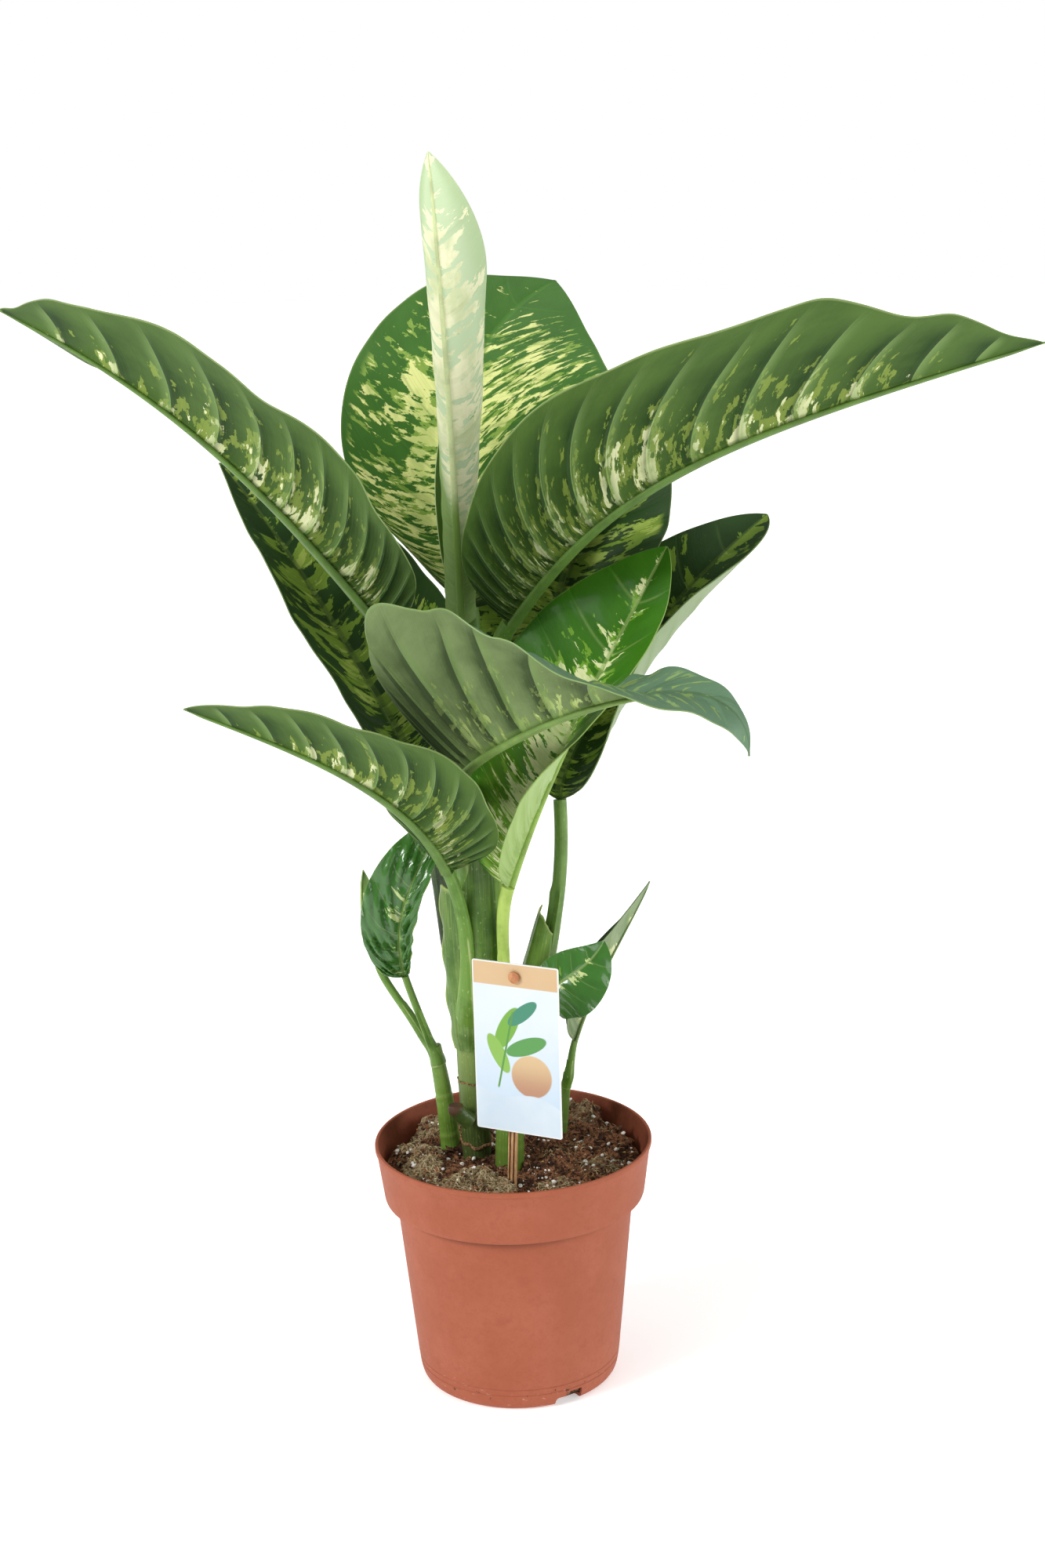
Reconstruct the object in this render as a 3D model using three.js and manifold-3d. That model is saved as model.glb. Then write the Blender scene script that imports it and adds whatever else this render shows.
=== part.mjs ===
// Potted dieffenbachia: a nursery pot filled with peat, two canes, two small shoots and fourteen leaves.
// Units are millimetres. The origin is the middle of the pot's foot, +Z is up and the front faces -Y.

import * as THREE from 'three';
import { mergeVertices } from 'three/addons/utils/BufferGeometryUtils.js';
import Module from 'manifold-3d';

const wasm = await Module();
wasm.setup();

// Driving dimensions

const GAP = 0.3; // air between pieces that touch
const POT_HEIGHT = 152;
const RIM_RADIUS = 85;
const FOOT_RADIUS = 56.5;
const WALL = 1.8;
const FLOOR = 2.2;
const COLLAR_BOTTOM = 117;
const COLLAR_LOWER_RADIUS = 80.3;
const COLLAR_UPPER_RADIUS = 84.2;
const BODY_TOP_RADIUS = 73;
const BODY_LOW_RADIUS = 62.4;
const BODY_LOW_HEIGHT = 9;
const COLLAR_STEP = 1.5; // bevel of the collar's lower edge
const LIP_HEIGHT = 2.8;
const LIP_BEVEL = 0.6;
const POT_SEGMENTS = 36;

const NOTCH_ANGLES = [-44, 136]; // degrees round the foot, from +X
const NOTCH_SIZE = [16, 18, 5]; // radial, along the rim and upwards
const NOTCH_RADIUS = 60;
const DRAIN_COUNT = 6;
const DRAIN_RADIUS = 4;
const DRAIN_CIRCLE = 36;
const DRAIN_SIDES = 10;

const SOIL_EDGE = 134.5;
const SOIL_CROWN = 3;
const SOIL_SKIRT = 4; // from the surface's edge down to where the soil meets the collar
const CLODS = [ // height of the clods, their waves per millimetre along x and y, and their phase
  [1.6, 0.11, 0.125, 1.3],
  [1.1, 0.22, -0.19, 0.4],
  [0.6, 0.27, 0.35, 1.9],
];
const SOIL_RINGS = [0, 10, 21, 32, 43, 54, 64, 73];

const CARD_SIZE = [55, 104, 0.7]; // width, height and thickness
const CARD_CENTRE = [4.5, -62, 232];
const CARD_YAW = -26; // degrees, the right edge stands nearer the front
const CARD_CORNER = 2;
const CARD_HOLE_RADIUS = 2.4;
const CARD_HOLE_DROP = 8; // from the top edge
const PIN_SIZE = [5.2, 2.4]; // width and thickness
const PIN_FOOT = [-3.5, -40, 86];
const PIN_TOP = 4; // above the card's hole
const STUD_SIDES = 10;
const STUD_HEAD = [3.6, 1.4]; // radius and thickness

const BLADE_THICKNESS = 1.0;
const BLADE_FIRST_ROW = 0.1; // share of the blade where its first vein starts
const BLADE_LAST_ROW = 0.98;
const VEIN_START_POWER = 2.2; // packs the veins' starts towards the base of the rib
const VEIN_END_POWER = 1.4; // and their ends towards the base of the margin
const VEIN_BEND_POWER = 1.4; // how a vein swings forward on its way out
const LOBE_SHARE = 0.35; // share of the veins, from the base, that a basal lobe draws back
const QUILT_DEPTH = 0.6; // how far the blade bulges between veins, up or down
const RIB_TAPER = 0.75; // share of its width that the rib loses towards the tip
const KEEL_TAPER = 0.8; // and of its depth below the blade
const LEAST_MARGIN = 2.4; // half the blade's least width
const LEAST_RIB = 0.6; // half the rib's least width
const RIB_SHARE = 0.15; // the most of a half's width that the rib takes
const BLADE_COLUMNS = [0.3, 0.66, 1]; // shares of a half's width, outside the rib
const RIB_EDGE = 0.001; // share that marks the rib's own edge
const SECTION_STEPS = 12;
const STEM_SIDES = 12;
const STEM_STEPS = 8;
const STALK_SIDES = 8;
const STALK_STEPS = 7;
const STALK_GAP = 0.5; // between a stalk's end and its blade

const COLOURS = {
  pot: { color: 0xc4694c, roughness: 0.55, metalness: 0 },
  soil: { color: 0x4a3428, roughness: 1, metalness: 0 },
  cane: { color: 0x3d6b2c, roughness: 0.5, metalness: 0 },
  stalk: { color: 0x6f9a45, roughness: 0.5, metalness: 0 },
  darkBlade: { color: 0x2f5a2b, roughness: 0.4, metalness: 0 },
  brightBlade: { color: 0x3f8a2a, roughness: 0.35, metalness: 0 },
  paleBlade: { color: 0xa9c99a, roughness: 0.45, metalness: 0 },
  card: { color: 0xf2f3ee, roughness: 0.5, metalness: 0 },
  pin: { color: 0xb98a5c, roughness: 0.7, metalness: 0 },
};

// Stems: a path of control points and the radius at its start, middle and end

const STEMS = {
  stem_main: {
    path: [[-21, 12, 92], [-25, 9, 200], [-27, 2, 300], [-20, 1, 436]],
    radius: [9.2, 8.4, 6.5],
  },
  stem_second: {
    path: [[-3, -7, 92], [-4, -8, 150], [1, -6, 200], [7, -3, 262]],
    radius: [9.6, 8.4, 6],
  },
  stem_left: {
    path: [[-38, 28, 92], [-39, 26, 150], [-43, 24, 180], [-47, 23, 204]],
    radius: [6.6, 5.2, 3.6],
  },
  stem_right: {
    path: [[26, 42, 92], [29, 36, 130], [32, 30, 160], [35, 28, 182]],
    radius: [4.2, 3.6, 2.6],
  },
};

// Leaves. A stalk starts on its stem at the first point of stalk and leaves it towards the second. approach is
// how far it runs in the rib's direction before the blade, and radius holds its start, middle and end radius.
// rib holds the control points of the midrib, and facing the way the upper face looks, from base to tip.
// width, lift and curl have a left and a right half, seen on the upper face with the tip up. lift is how far
// a half rises from the rib and curl how much more it bends up to its margin, in degrees, at the base, in the
// middle and at the tip. round and sharp shape the outline's base and tip. wave holds the height of the
// margin's waves, their number along the rib and their phase. lobe is how far the base is drawn back.

const LEAVES = [
  {
    name: 'newest', stem: 'stem_main', colour: 'paleBlade', rows: 16,
    stalk: [[-21, 2, 385], [-21, 2, 410]], approach: 25, radius: [6.4, 5.6, 4.6],
    rib: [[-21, 2, 471], [-22, -3, 577], [-24, -23, 641], [-30, -4, 736]],
    width: [57, 32], round: 0.55, sharp: 0.85, facing: [[0, 1, 0], [0.1, 1, 0.1]],
    lift: [[0, 0, 5], [5, 5, 5]], curl: [[230, 178, 80], [140, 225, 190]],
    wave: [0.8, 2, 0], lobe: 7, ribWidth: 2.4,
  },
  {
    name: 'centre_back', stem: 'stem_main', colour: 'darkBlade', rows: 16,
    stalk: [[-19, 8, 318], [-19, 12, 370]], approach: 45, radius: [9, 6.5, 5],
    rib: [[-16, 30, 476], [-10, 45, 540], [-15, 35, 625], [42, 160, 662]],
    width: [80, 84], round: 0.72, sharp: 1.0, facing: [[0, -1, 0.1], [0.1, -0.6, 0.7]],
    lift: [[15, 12, 10], [15, 12, 10]], curl: [[-10, -15, -20], [-10, -15, -20]],
    wave: [3, 3, 0], lobe: 6, ribWidth: 4,
  },
  {
    name: 'left_upper', stem: 'stem_main', colour: 'darkBlade', rows: 18,
    stalk: [[-23, 0, 340], [-27, -6, 400]], approach: 35, radius: [9.5, 6.5, 5],
    rib: [[-62, -28, 473], [-114, -65, 551], [-162, -101, 614], [-260, -66, 659]],
    width: [67, 72], round: 0.65, sharp: 0.8, facing: [[0.45, 0.25, 0.85], [0.45, 0.25, 0.85]],
    lift: [[35, 30, 25], [35, 28, 2]], curl: [[-15, -10, -10], [-20, -20, -20]],
    wave: [3, 3, 0], lobe: 4, ribWidth: 4.5,
  },
  {
    name: 'right_upper', stem: 'stem_main', colour: 'darkBlade', rows: 18,
    stalk: [[-17, -2, 345], [-14, -6, 400]], approach: 35, radius: [9.5, 6.5, 5],
    rib: [[8, -20, 475], [65, -75, 563], [120, -115, 585], [301, -60, 626]],
    width: [84, 86], round: 0.68, sharp: 1.0, facing: [[-0.3, 0.4, 0.87], [-0.3, 0.4, 0.87]],
    lift: [[45, 45, 35], [35, 35, 25]], curl: [[-15, -20, -20], [-15, -10, -10]],
    wave: [3, 3, 1], lobe: 4, ribWidth: 4.5,
  },
  {
    name: 'left_behind', stem: 'stem_main', colour: 'darkBlade', rows: 16,
    stalk: [[-27, 9, 232], [-36, 20, 285]], approach: 45, radius: [9.5, 6.5, 5],
    rib: [[-53, 40, 379], [-75, 42, 421], [-125, 55, 517], [-168, 92, 560]],
    width: [45, 60], round: 0.6, sharp: 1.0, facing: [[0.35, -0.75, 0.55], [0.35, -0.65, 0.65]],
    lift: [[35, 32, 30], [15, 15, 15]], curl: [[10, 10, 0], [-10, -10, -10]],
    wave: [2.5, 3, 2], lobe: 4, ribWidth: 4,
  },
  {
    name: 'right_behind', stem: 'stem_main', colour: 'darkBlade', rows: 16,
    stalk: [[-17, 6, 335], [-8, 16, 390]], approach: 35, radius: [8.5, 6, 5],
    rib: [[30, 32, 456], [42, 34, 502], [60, 51, 535], [92, 108, 590]],
    width: [62, 53], round: 0.6, sharp: 0.9, facing: [[-0.3, -0.85, 0.45], [-0.3, -0.7, 0.6]],
    lift: [[15, 12, 10], [15, 12, 10]], curl: [[-10, -10, -10], [-10, -10, -10]],
    wave: [2.5, 3, 1], lobe: 4, ribWidth: 4,
  },
  {
    name: 'right_lower', stem: 'stem_second', colour: 'darkBlade', rows: 16,
    stalk: [[12, 0, 225], [33, 4, 290]], approach: 35, radius: [8, 4.8, 4.2],
    rib: [[34, 8, 363], [33, 12, 392], [92, 14, 476], [163, 50, 524]],
    width: [46, 56], round: 0.5, sharp: 0.8, facing: [[-0.5, -0.75, 0.45], [-0.5, -0.65, 0.55]],
    lift: [[20, 15, 15], [20, 15, 15]], curl: [[-10, -10, -10], [110, 90, 70]],
    wave: [2, 3, 1], lobe: 2, ribWidth: 3.4,
  },
  {
    name: 'front_bright', stem: 'stem_second', colour: 'brightBlade', rows: 16,
    stalk: [[1, -10, 205], [1, -13, 250]], approach: 30, radius: [8, 3.4, 4],
    rib: [[2, -20, 318], [25, -35, 390], [58, -50, 449], [98, -20, 516]],
    width: [46, 38], round: 0.7, sharp: 0.8, facing: [[-0.3, -0.85, 0.4], [-0.3, -0.8, 0.5]],
    lift: [[25, 15, 10], [75, 55, 10]], curl: [[-10, -10, -10], [95, 10, -20]],
    wave: [2, 3, 0], lobe: 4, ribWidth: 3.4,
  },
  {
    name: 'front_twisted', stem: 'stem_main', colour: 'darkBlade', rows: 17,
    stalk: [[-20, -3, 275], [-18, -8, 330]], approach: 34, radius: [9, 6, 4.8],
    rib: [[-22, -42, 393], [-12, -97, 423], [115, -157, 493], [133, -125, 417]],
    width: [34, 104], round: 0.68, sharp: 1.15,
    facing: [[-0.3, 0.2, 0.85], [-0.2, 0.3, 0.9], [0, -0.3, 0.9], [0.1, -0.6, 0.8]],
    lift: [[45, 20, 10], [63, 50, -5]], curl: [[-10, -20, -10], [-20, -20, -10]],
    wave: [3, 3, 0], lobe: 10, ribWidth: 4.5,
  },
  {
    name: 'left_lower', stem: 'stem_main', colour: 'darkBlade', rows: 16,
    stalk: [[-28, -2, 212], [-20, -12, 265]], approach: 36, radius: [10.5, 6.5, 4.4],
    rib: [[-33, -30, 331], [-51, -64, 388], [-107, -83, 416], [-176, -60, 438]],
    width: [50, 48], round: 0.55, sharp: 0.9, facing: [[0.3, 0.45, 0.85], [0.3, 0.45, 0.85]],
    lift: [[30, 25, 20], [28, 25, 15]], curl: [[-15, -10, -10], [-10, -10, -10]],
    wave: [2, 3, 1], lobe: 6, ribWidth: 3.8,
  },
  {
    name: 'shoot_left_outer', stem: 'stem_left', colour: 'brightBlade', rows: 11,
    stalk: [[-46, 24, 192], [-58, 26, 222]], approach: 14, radius: [3.4, 2.6, 2.4],
    rib: [[-80, 30, 255], [-87, 35, 280], [-91, 35, 287], [-88, 46, 312]],
    width: [14, 16], round: 0.55, sharp: 0.9, facing: [[0.5, 0.8, 0.2], [0.5, 0.8, 0.2]],
    lift: [[20, 15, 15], [60, 50, 40]], curl: [[-10, -10, -10], [30, 20, 10]],
    wave: [1, 3, 1], lobe: 2, ribWidth: 1.8,
  },
  {
    name: 'shoot_left_inner', stem: 'stem_left', colour: 'brightBlade', rows: 12,
    stalk: [[-45, 22, 192], [-52, 20, 216]], approach: 14, radius: [3.2, 2.4, 2.2],
    rib: [[-63, 12, 254], [-71, 0, 293], [-56, -6, 318], [-36, 16, 350]],
    width: [25, 12], round: 0.6, sharp: 0.7, facing: [[0.1, -0.9, 0.2], [0.1, -0.9, 0.3]],
    lift: [[10, 10, 10], [50, 45, 30]], curl: [[-10, -20, -20], [0, 0, 0]],
    wave: [1, 3, 1], lobe: 2, ribWidth: 2,
  },
  {
    name: 'shoot_right_front', stem: 'stem_second', colour: 'darkBlade', rows: 11,
    stalk: [[3, -8, 205], [10, -14, 222]], approach: 12, radius: [3.4, 2.4, 2],
    rib: [[22, -14, 245], [33, -20, 256], [43, -20, 257], [52, -8, 264]],
    width: [16, 24], round: 0.5, sharp: 0.5, facing: [[-0.2, -0.9, 0.35], [0.2, -0.9, 0.35]],
    lift: [[10, 10, 10], [15, 10, 10]], curl: [[-10, -10, -10], [-10, -20, -30]],
    wave: [0.8, 3, 1], lobe: 5, ribWidth: 1.8,
  },
  {
    name: 'shoot_right_back', stem: 'stem_right', colour: 'darkBlade', rows: 11,
    stalk: [[34, 28, 172], [37, 27, 186]], approach: 8, radius: [4.4, 2.6, 2],
    rib: [[40, 26, 204], [53, 29, 243], [78, 35, 278], [89, 44, 300]],
    width: [19, 12], round: 0.5, sharp: 0.9, facing: [[-0.75, 0.1, 0.6], [-0.75, 0.1, 0.6]],
    lift: [[50, 45, 20], [50, 45, 20]], curl: [[0, 0, 0], [0, 0, 0]],
    wave: [0.4, 2, 1], lobe: 0, ribWidth: 1.6,
  },
];

// Vectors and curves

function vector(values) {
  return new THREE.Vector3(...values);
}

function bezier(points) {
  return new THREE.CubicBezierCurve3(...points.map(vector));
}

// The value at t of a start, a middle and an end value.
function threeWay([start, middle, end], t) {
  const place = Math.min(Math.max(t, 0), 1) * 2;
  if (place < 1) return THREE.MathUtils.lerp(start, middle, place);
  return THREE.MathUtils.lerp(middle, end, place - 1);
}

// Closed meshes and solids

function geometryOf(points, faces) {
  const geometry = new THREE.BufferGeometry();
  const position = points.flatMap((point) => point.toArray());
  geometry.setAttribute('position', new THREE.Float32BufferAttribute(position, 3));
  geometry.setIndex(faces.flat());
  return geometry;
}

function solidOf(geometry) {
  const bare = geometry.clone();
  bare.deleteAttribute('normal');
  bare.deleteAttribute('uv');
  const merged = mergeVertices(bare, 1e-4);
  const vertProperties = new Float32Array(merged.attributes.position.array);
  const triVerts = new Uint32Array(merged.index.array);
  return new wasm.Manifold(new wasm.Mesh({ numProp: 3, vertProperties, triVerts }));
}

function geometryFrom(solid) {
  const { numProp, vertProperties, triVerts } = solid.getMesh();
  const geometry = new THREE.BufferGeometry();
  const position = new Float32Array((vertProperties.length / numProp) * 3);
  for (let i = 0; i < position.length / 3; i += 1) {
    for (let k = 0; k < 3; k += 1) position[3 * i + k] = vertProperties[numProp * i + k];
  }
  geometry.setAttribute('position', new THREE.BufferAttribute(position, 3));
  geometry.setIndex(Array.from(triVerts));
  return geometry;
}

// Keeps the body with the most faces and drops the scraps that a cut leaves.
function largestBody(geometry) {
  const index = Array.from(geometry.index.array);
  const owner = Array.from({ length: geometry.attributes.position.count }, (_, i) => i);
  const root = (i) => {
    while (owner[i] !== i) i = owner[i];
    return i;
  };
  for (let f = 0; f < index.length; f += 3) {
    owner[root(index[f + 1])] = root(index[f]);
    owner[root(index[f + 2])] = root(index[f]);
  }
  const counts = new Map();
  for (let f = 0; f < index.length; f += 3) {
    counts.set(root(index[f]), (counts.get(root(index[f])) ?? 0) + 1);
  }
  const best = [...counts].sort((a, b) => b[1] - a[1])[0][0];
  const kept = [];
  for (let f = 0; f < index.length; f += 3) {
    if (root(index[f]) === best) kept.push(...index.slice(f, f + 3));
  }
  const body = geometry.clone();
  body.setIndex(kept);
  return body;
}

function carve(geometry, obstacles) {
  const solid = obstacles.reduce((rest, obstacle) => rest.subtract(obstacle), solidOf(geometry));
  return largestBody(geometryFrom(solid));
}

// Joins rings of the same number of points into a closed tube with flat ends.
function tubeOf(rings) {
  const sides = rings[0].length;
  const faces = [];
  for (let i = 0; i + 1 < rings.length; i += 1) {
    for (let k = 0; k < sides; k += 1) {
      const a = i * sides + k;
      const b = i * sides + ((k + 1) % sides);
      faces.push([a, b, b + sides], [a, b + sides, a + sides]);
    }
  }
  const last = (rings.length - 1) * sides;
  for (let k = 1; k + 1 < sides; k += 1) {
    faces.push([0, k + 1, k], [last, last + k, last + k + 1]);
  }
  return geometryOf(rings.flat(), faces);
}

// A round tube along a path. extra widens it all round.
function tube(path, radius, sides, steps, extra = 0) {
  const curve = bezier(path);
  const frames = curve.computeFrenetFrames(steps, false);
  const rings = [];
  for (let i = 0; i <= steps; i += 1) {
    const centre = curve.getPointAt(i / steps);
    const r = threeWay(radius, i / steps) + extra;
    rings.push(Array.from({ length: sides }, (_, k) => {
      const angle = (2 * Math.PI * k) / sides;
      return centre.clone()
        .addScaledVector(frames.normals[i], r * Math.cos(angle))
        .addScaledVector(frames.binormals[i], r * Math.sin(angle));
    }));
  }
  return tubeOf(rings);
}

// Leaf blades

function facingAt(leaf, t, tangent) {
  const last = leaf.facing.length - 1;
  const place = Math.min(Math.max(t, 0), 1) * last;
  const first = Math.min(Math.floor(place), last - 1);
  const facing = vector(leaf.facing[first]).lerp(vector(leaf.facing[first + 1]), place - first);
  return facing.addScaledVector(tangent, -facing.dot(tangent)).normalize();
}

// The rib's point, direction, upper face and right side at x millimetres from the base.
function ribFrame(leaf, curve, length, x) {
  const t = Math.min(Math.max(x / length, 0), 1);
  const tangent = curve.getTangentAt(t);
  const point = curve.getPointAt(t).addScaledVector(tangent, x - t * length);
  const up = facingAt(leaf, t, tangent);
  return { point, up, side: new THREE.Vector3().crossVectors(tangent, up) };
}

// How far a half reaches sideways and upwards at y millimetres from the rib.
function sectionAt(leaf, t, y) {
  const half = y < 0 ? 0 : 1;
  const lift = THREE.MathUtils.degToRad(threeWay(leaf.lift[half], t));
  const curl = THREE.MathUtils.degToRad(threeWay(leaf.curl[half], t));
  const step = Math.abs(y) / SECTION_STEPS;
  let out = 0;
  let up = 0;
  for (let k = 0; k < SECTION_STEPS; k += 1) {
    const share = ((k + 0.5) * step) / leaf.width[half];
    const angle = lift + curl * share;
    out += Math.cos(angle) * step;
    up += Math.sin(angle) * step;
  }
  return [Math.sign(y) * out, up];
}

// Half the blade's width at a share of its length, as a share of its widest.
function outlineAt(leaf, share) {
  const widest = leaf.round / (leaf.round + leaf.sharp);
  return (share / widest) ** leaf.round * ((1 - share) / (1 - widest)) ** leaf.sharp;
}

// Where on the rib a vein starts. The first vein opens the blade at its base and the last one closes the tip.
function veinStart(share, q) {
  return share === 0 || share === 1 ? share : q ** VEIN_START_POWER;
}

// A grid of points on the blade's middle surface. Each row follows a vein from the rib to both margins.
function bladeGrid(leaf) {
  const curve = bezier(leaf.rib);
  const length = curve.getLength();
  const right = [RIB_EDGE, ...BLADE_COLUMNS];
  const columns = [...right.map((share) => -share).reverse(), 0, ...right];
  const grid = [];
  for (let i = 0; i <= leaf.rows; i += 1) {
    const q = THREE.MathUtils.lerp(BLADE_FIRST_ROW, BLADE_LAST_ROW, i / leaf.rows);
    const start = length * veinStart(i / leaf.rows, q);
    const reach = q ** VEIN_END_POWER;
    const end = length * reach - leaf.lobe * Math.sin(Math.PI * Math.min(1, q / LOBE_SHARE)) ** 2;
    const fullness = outlineAt(leaf, reach);
    const pleat = (i % 2 ? QUILT_DEPTH : -QUILT_DEPTH) * fullness;
    const ribHalf = leaf.ribWidth * (1 - RIB_TAPER * q);
    grid.push(columns.map((share) => {
      const half = share < 0 ? 0 : 1;
      const margin = Math.max(leaf.width[half] * fullness, LEAST_MARGIN);
      const s = Math.abs(share);
      const inner = Math.max(Math.min(ribHalf, margin * RIB_SHARE), LEAST_RIB);
      const y = Math.sign(share) * (s <= RIB_EDGE ? (s / RIB_EDGE) * inner : inner + (margin - inner) * s);
      const x = start + (end - start) * s ** VEIN_BEND_POWER;
      const { point, up, side } = ribFrame(leaf, curve, length, x);
      const [out, rise] = sectionAt(leaf, x / length, y);
      const [swing, count, phase] = leaf.wave;
      const wave = swing * fullness * s * s * Math.sin((2 * Math.PI * count * x) / length + phase + half);
      const quilt = pleat * 4 * s * (1 - s);
      return point.addScaledVector(side, out).addScaledVector(up, rise + wave + quilt);
    }));
  }
  return grid;
}

// The upward normal of the grid at each of its points. The tip's row takes those of the row before.
function gridNormals(grid) {
  const normals = grid.slice(0, -1).map((row, i) => row.map((_, j) => {
    const along = grid[i + 1][j].clone().sub(grid[Math.max(i - 1, 0)][j]);
    const across = row[Math.min(j + 1, row.length - 1)].clone().sub(row[Math.max(j - 1, 0)]);
    return across.cross(along).normalize();
  }));
  return [...normals, normals[normals.length - 1]];
}

// A blade of even thickness with a raised rib below. Both faces are split into triangles alike.
function blade(leaf) {
  const grid = bladeGrid(leaf);
  const normals = gridNormals(grid);
  const columns = grid[0].length;
  const middle = (columns - 1) / 2;
  const top = [];
  const bottom = [];
  grid.forEach((row, i) => row.forEach((point, j) => {
    const depth = j === middle ? leaf.ribWidth * (1 - KEEL_TAPER * (i / leaf.rows)) : 0;
    top.push(point.clone().addScaledVector(normals[i][j], BLADE_THICKNESS / 2));
    bottom.push(point.clone().addScaledVector(normals[i][j], -BLADE_THICKNESS / 2 - depth));
  }));
  const count = top.length;
  const faces = [];
  const triangle = (a, b, c) => faces.push([a, b, c], [a + count, c + count, b + count]);
  for (let i = 0; i + 1 < grid.length; i += 1) {
    for (let j = 0; j + 1 < columns; j += 1) {
      const a = i * columns + j;
      const [b, c, d] = [a + 1, a + 1 + columns, a + columns];
      if (j < middle) {
        triangle(a, b, d);
        triangle(b, c, d);
      } else {
        triangle(a, b, c);
        triangle(a, c, d);
      }
    }
  }
  const border = [];
  for (let j = 0; j < columns - 1; j += 1) border.push(j);
  for (let i = 0; i < grid.length - 1; i += 1) border.push(i * columns + columns - 1);
  for (let j = columns - 1; j > 0; j -= 1) border.push((grid.length - 1) * columns + j);
  for (let i = grid.length - 1; i > 0; i -= 1) border.push(i * columns);
  border.forEach((a, k) => {
    const b = border[(k + 1) % border.length];
    faces.push([b, a, a + count], [b, a + count, b + count]);
  });
  return geometryOf([...top, ...bottom], faces);
}

// Pot, soil and label

function pot() {
  const outline = [
    [0, 0], [FOOT_RADIUS, 0], [FOOT_RADIUS + 3.1, 1], [FOOT_RADIUS + 5.1, 4],
    [BODY_LOW_RADIUS, BODY_LOW_HEIGHT], [BODY_TOP_RADIUS, COLLAR_BOTTOM - COLLAR_STEP / 2],
    [COLLAR_LOWER_RADIUS - COLLAR_STEP, COLLAR_BOTTOM], [COLLAR_LOWER_RADIUS, COLLAR_BOTTOM + COLLAR_STEP],
    [COLLAR_UPPER_RADIUS, POT_HEIGHT - LIP_HEIGHT - LIP_BEVEL], [RIM_RADIUS, POT_HEIGHT - LIP_HEIGHT],
    [RIM_RADIUS, POT_HEIGHT - LIP_BEVEL], [RIM_RADIUS - LIP_BEVEL, POT_HEIGHT],
    [RIM_RADIUS - WALL, POT_HEIGHT],
    ...innerOutline(0).reverse(),
  ];
  const turn = (2 * Math.PI) / DRAIN_COUNT;
  const drains = Array.from({ length: DRAIN_COUNT }, (_, k) => drainTool(turn * (k + 0.25)));
  const tools = [...NOTCH_ANGLES.map(notchTool), ...drains];
  return carve(lathe(outline), tools.map(solidOf));
}

// The pot's inside from the middle of its floor to its collar, kept clear by a distance.
function innerOutline(clear) {
  const ceiling = COLLAR_BOTTOM + COLLAR_STEP + clear;
  return [
    [0, FLOOR + clear], [FOOT_RADIUS + 1.4 - clear, FLOOR + clear], [FOOT_RADIUS + 3.6 - clear, 5],
    [BODY_LOW_RADIUS - WALL - clear, BODY_LOW_HEIGHT],
    [BODY_TOP_RADIUS - WALL - clear, ceiling - COLLAR_STEP],
    [COLLAR_LOWER_RADIUS - WALL - clear, ceiling],
    [COLLAR_UPPER_RADIUS - WALL - clear, POT_HEIGHT - LIP_HEIGHT - LIP_BEVEL],
  ];
}

function lathe(outline) {
  const points = outline.map(([r, z]) => new THREE.Vector2(r, z));
  return new THREE.LatheGeometry(points, POT_SEGMENTS).rotateX(Math.PI / 2);
}

function notchTool(degrees) {
  const [deep, wide, high] = NOTCH_SIZE;
  const tool = new THREE.BoxGeometry(deep, wide, high * 2);
  return tool.translate(NOTCH_RADIUS, 0, 0).rotateZ(THREE.MathUtils.degToRad(degrees));
}

function drainTool(turn) {
  const tool = new THREE.CylinderGeometry(DRAIN_RADIUS, DRAIN_RADIUS, FLOOR * 4, DRAIN_SIDES);
  return tool.rotateX(Math.PI / 2).translate(DRAIN_CIRCLE, 0, 0).rotateZ(turn);
}

// Height of the crumbly soil surface: a low crown with clods of three sizes.
function soilHeight(x, y) {
  const crown = SOIL_CROWN * (1 - (x * x + y * y) / RIM_RADIUS ** 2);
  return CLODS.reduce((z, [height, alongX, alongY, phase]) => (
    z + height * Math.sin(alongX * x + alongY * y + phase)
  ), SOIL_EDGE + crown);
}

function soil(holes) {
  const below = innerOutline(GAP).slice(0, -1);
  const surface = SOIL_RINGS.map((radius) => [radius, SOIL_EDGE]).reverse();
  const ground = lathe([...below, [COLLAR_LOWER_RADIUS - WALL, SOIL_EDGE - SOIL_SKIRT], ...surface]);
  const position = ground.attributes.position;
  for (let i = 0; i < position.count; i += 1) {
    if (position.getZ(i) > SOIL_EDGE - 0.1) {
      position.setZ(i, soilHeight(position.getX(i), position.getY(i)));
    }
  }
  return carve(ground, holes);
}

function cardPlace(geometry) {
  return geometry.rotateZ(THREE.MathUtils.degToRad(CARD_YAW)).translate(...CARD_CENTRE);
}

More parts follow.
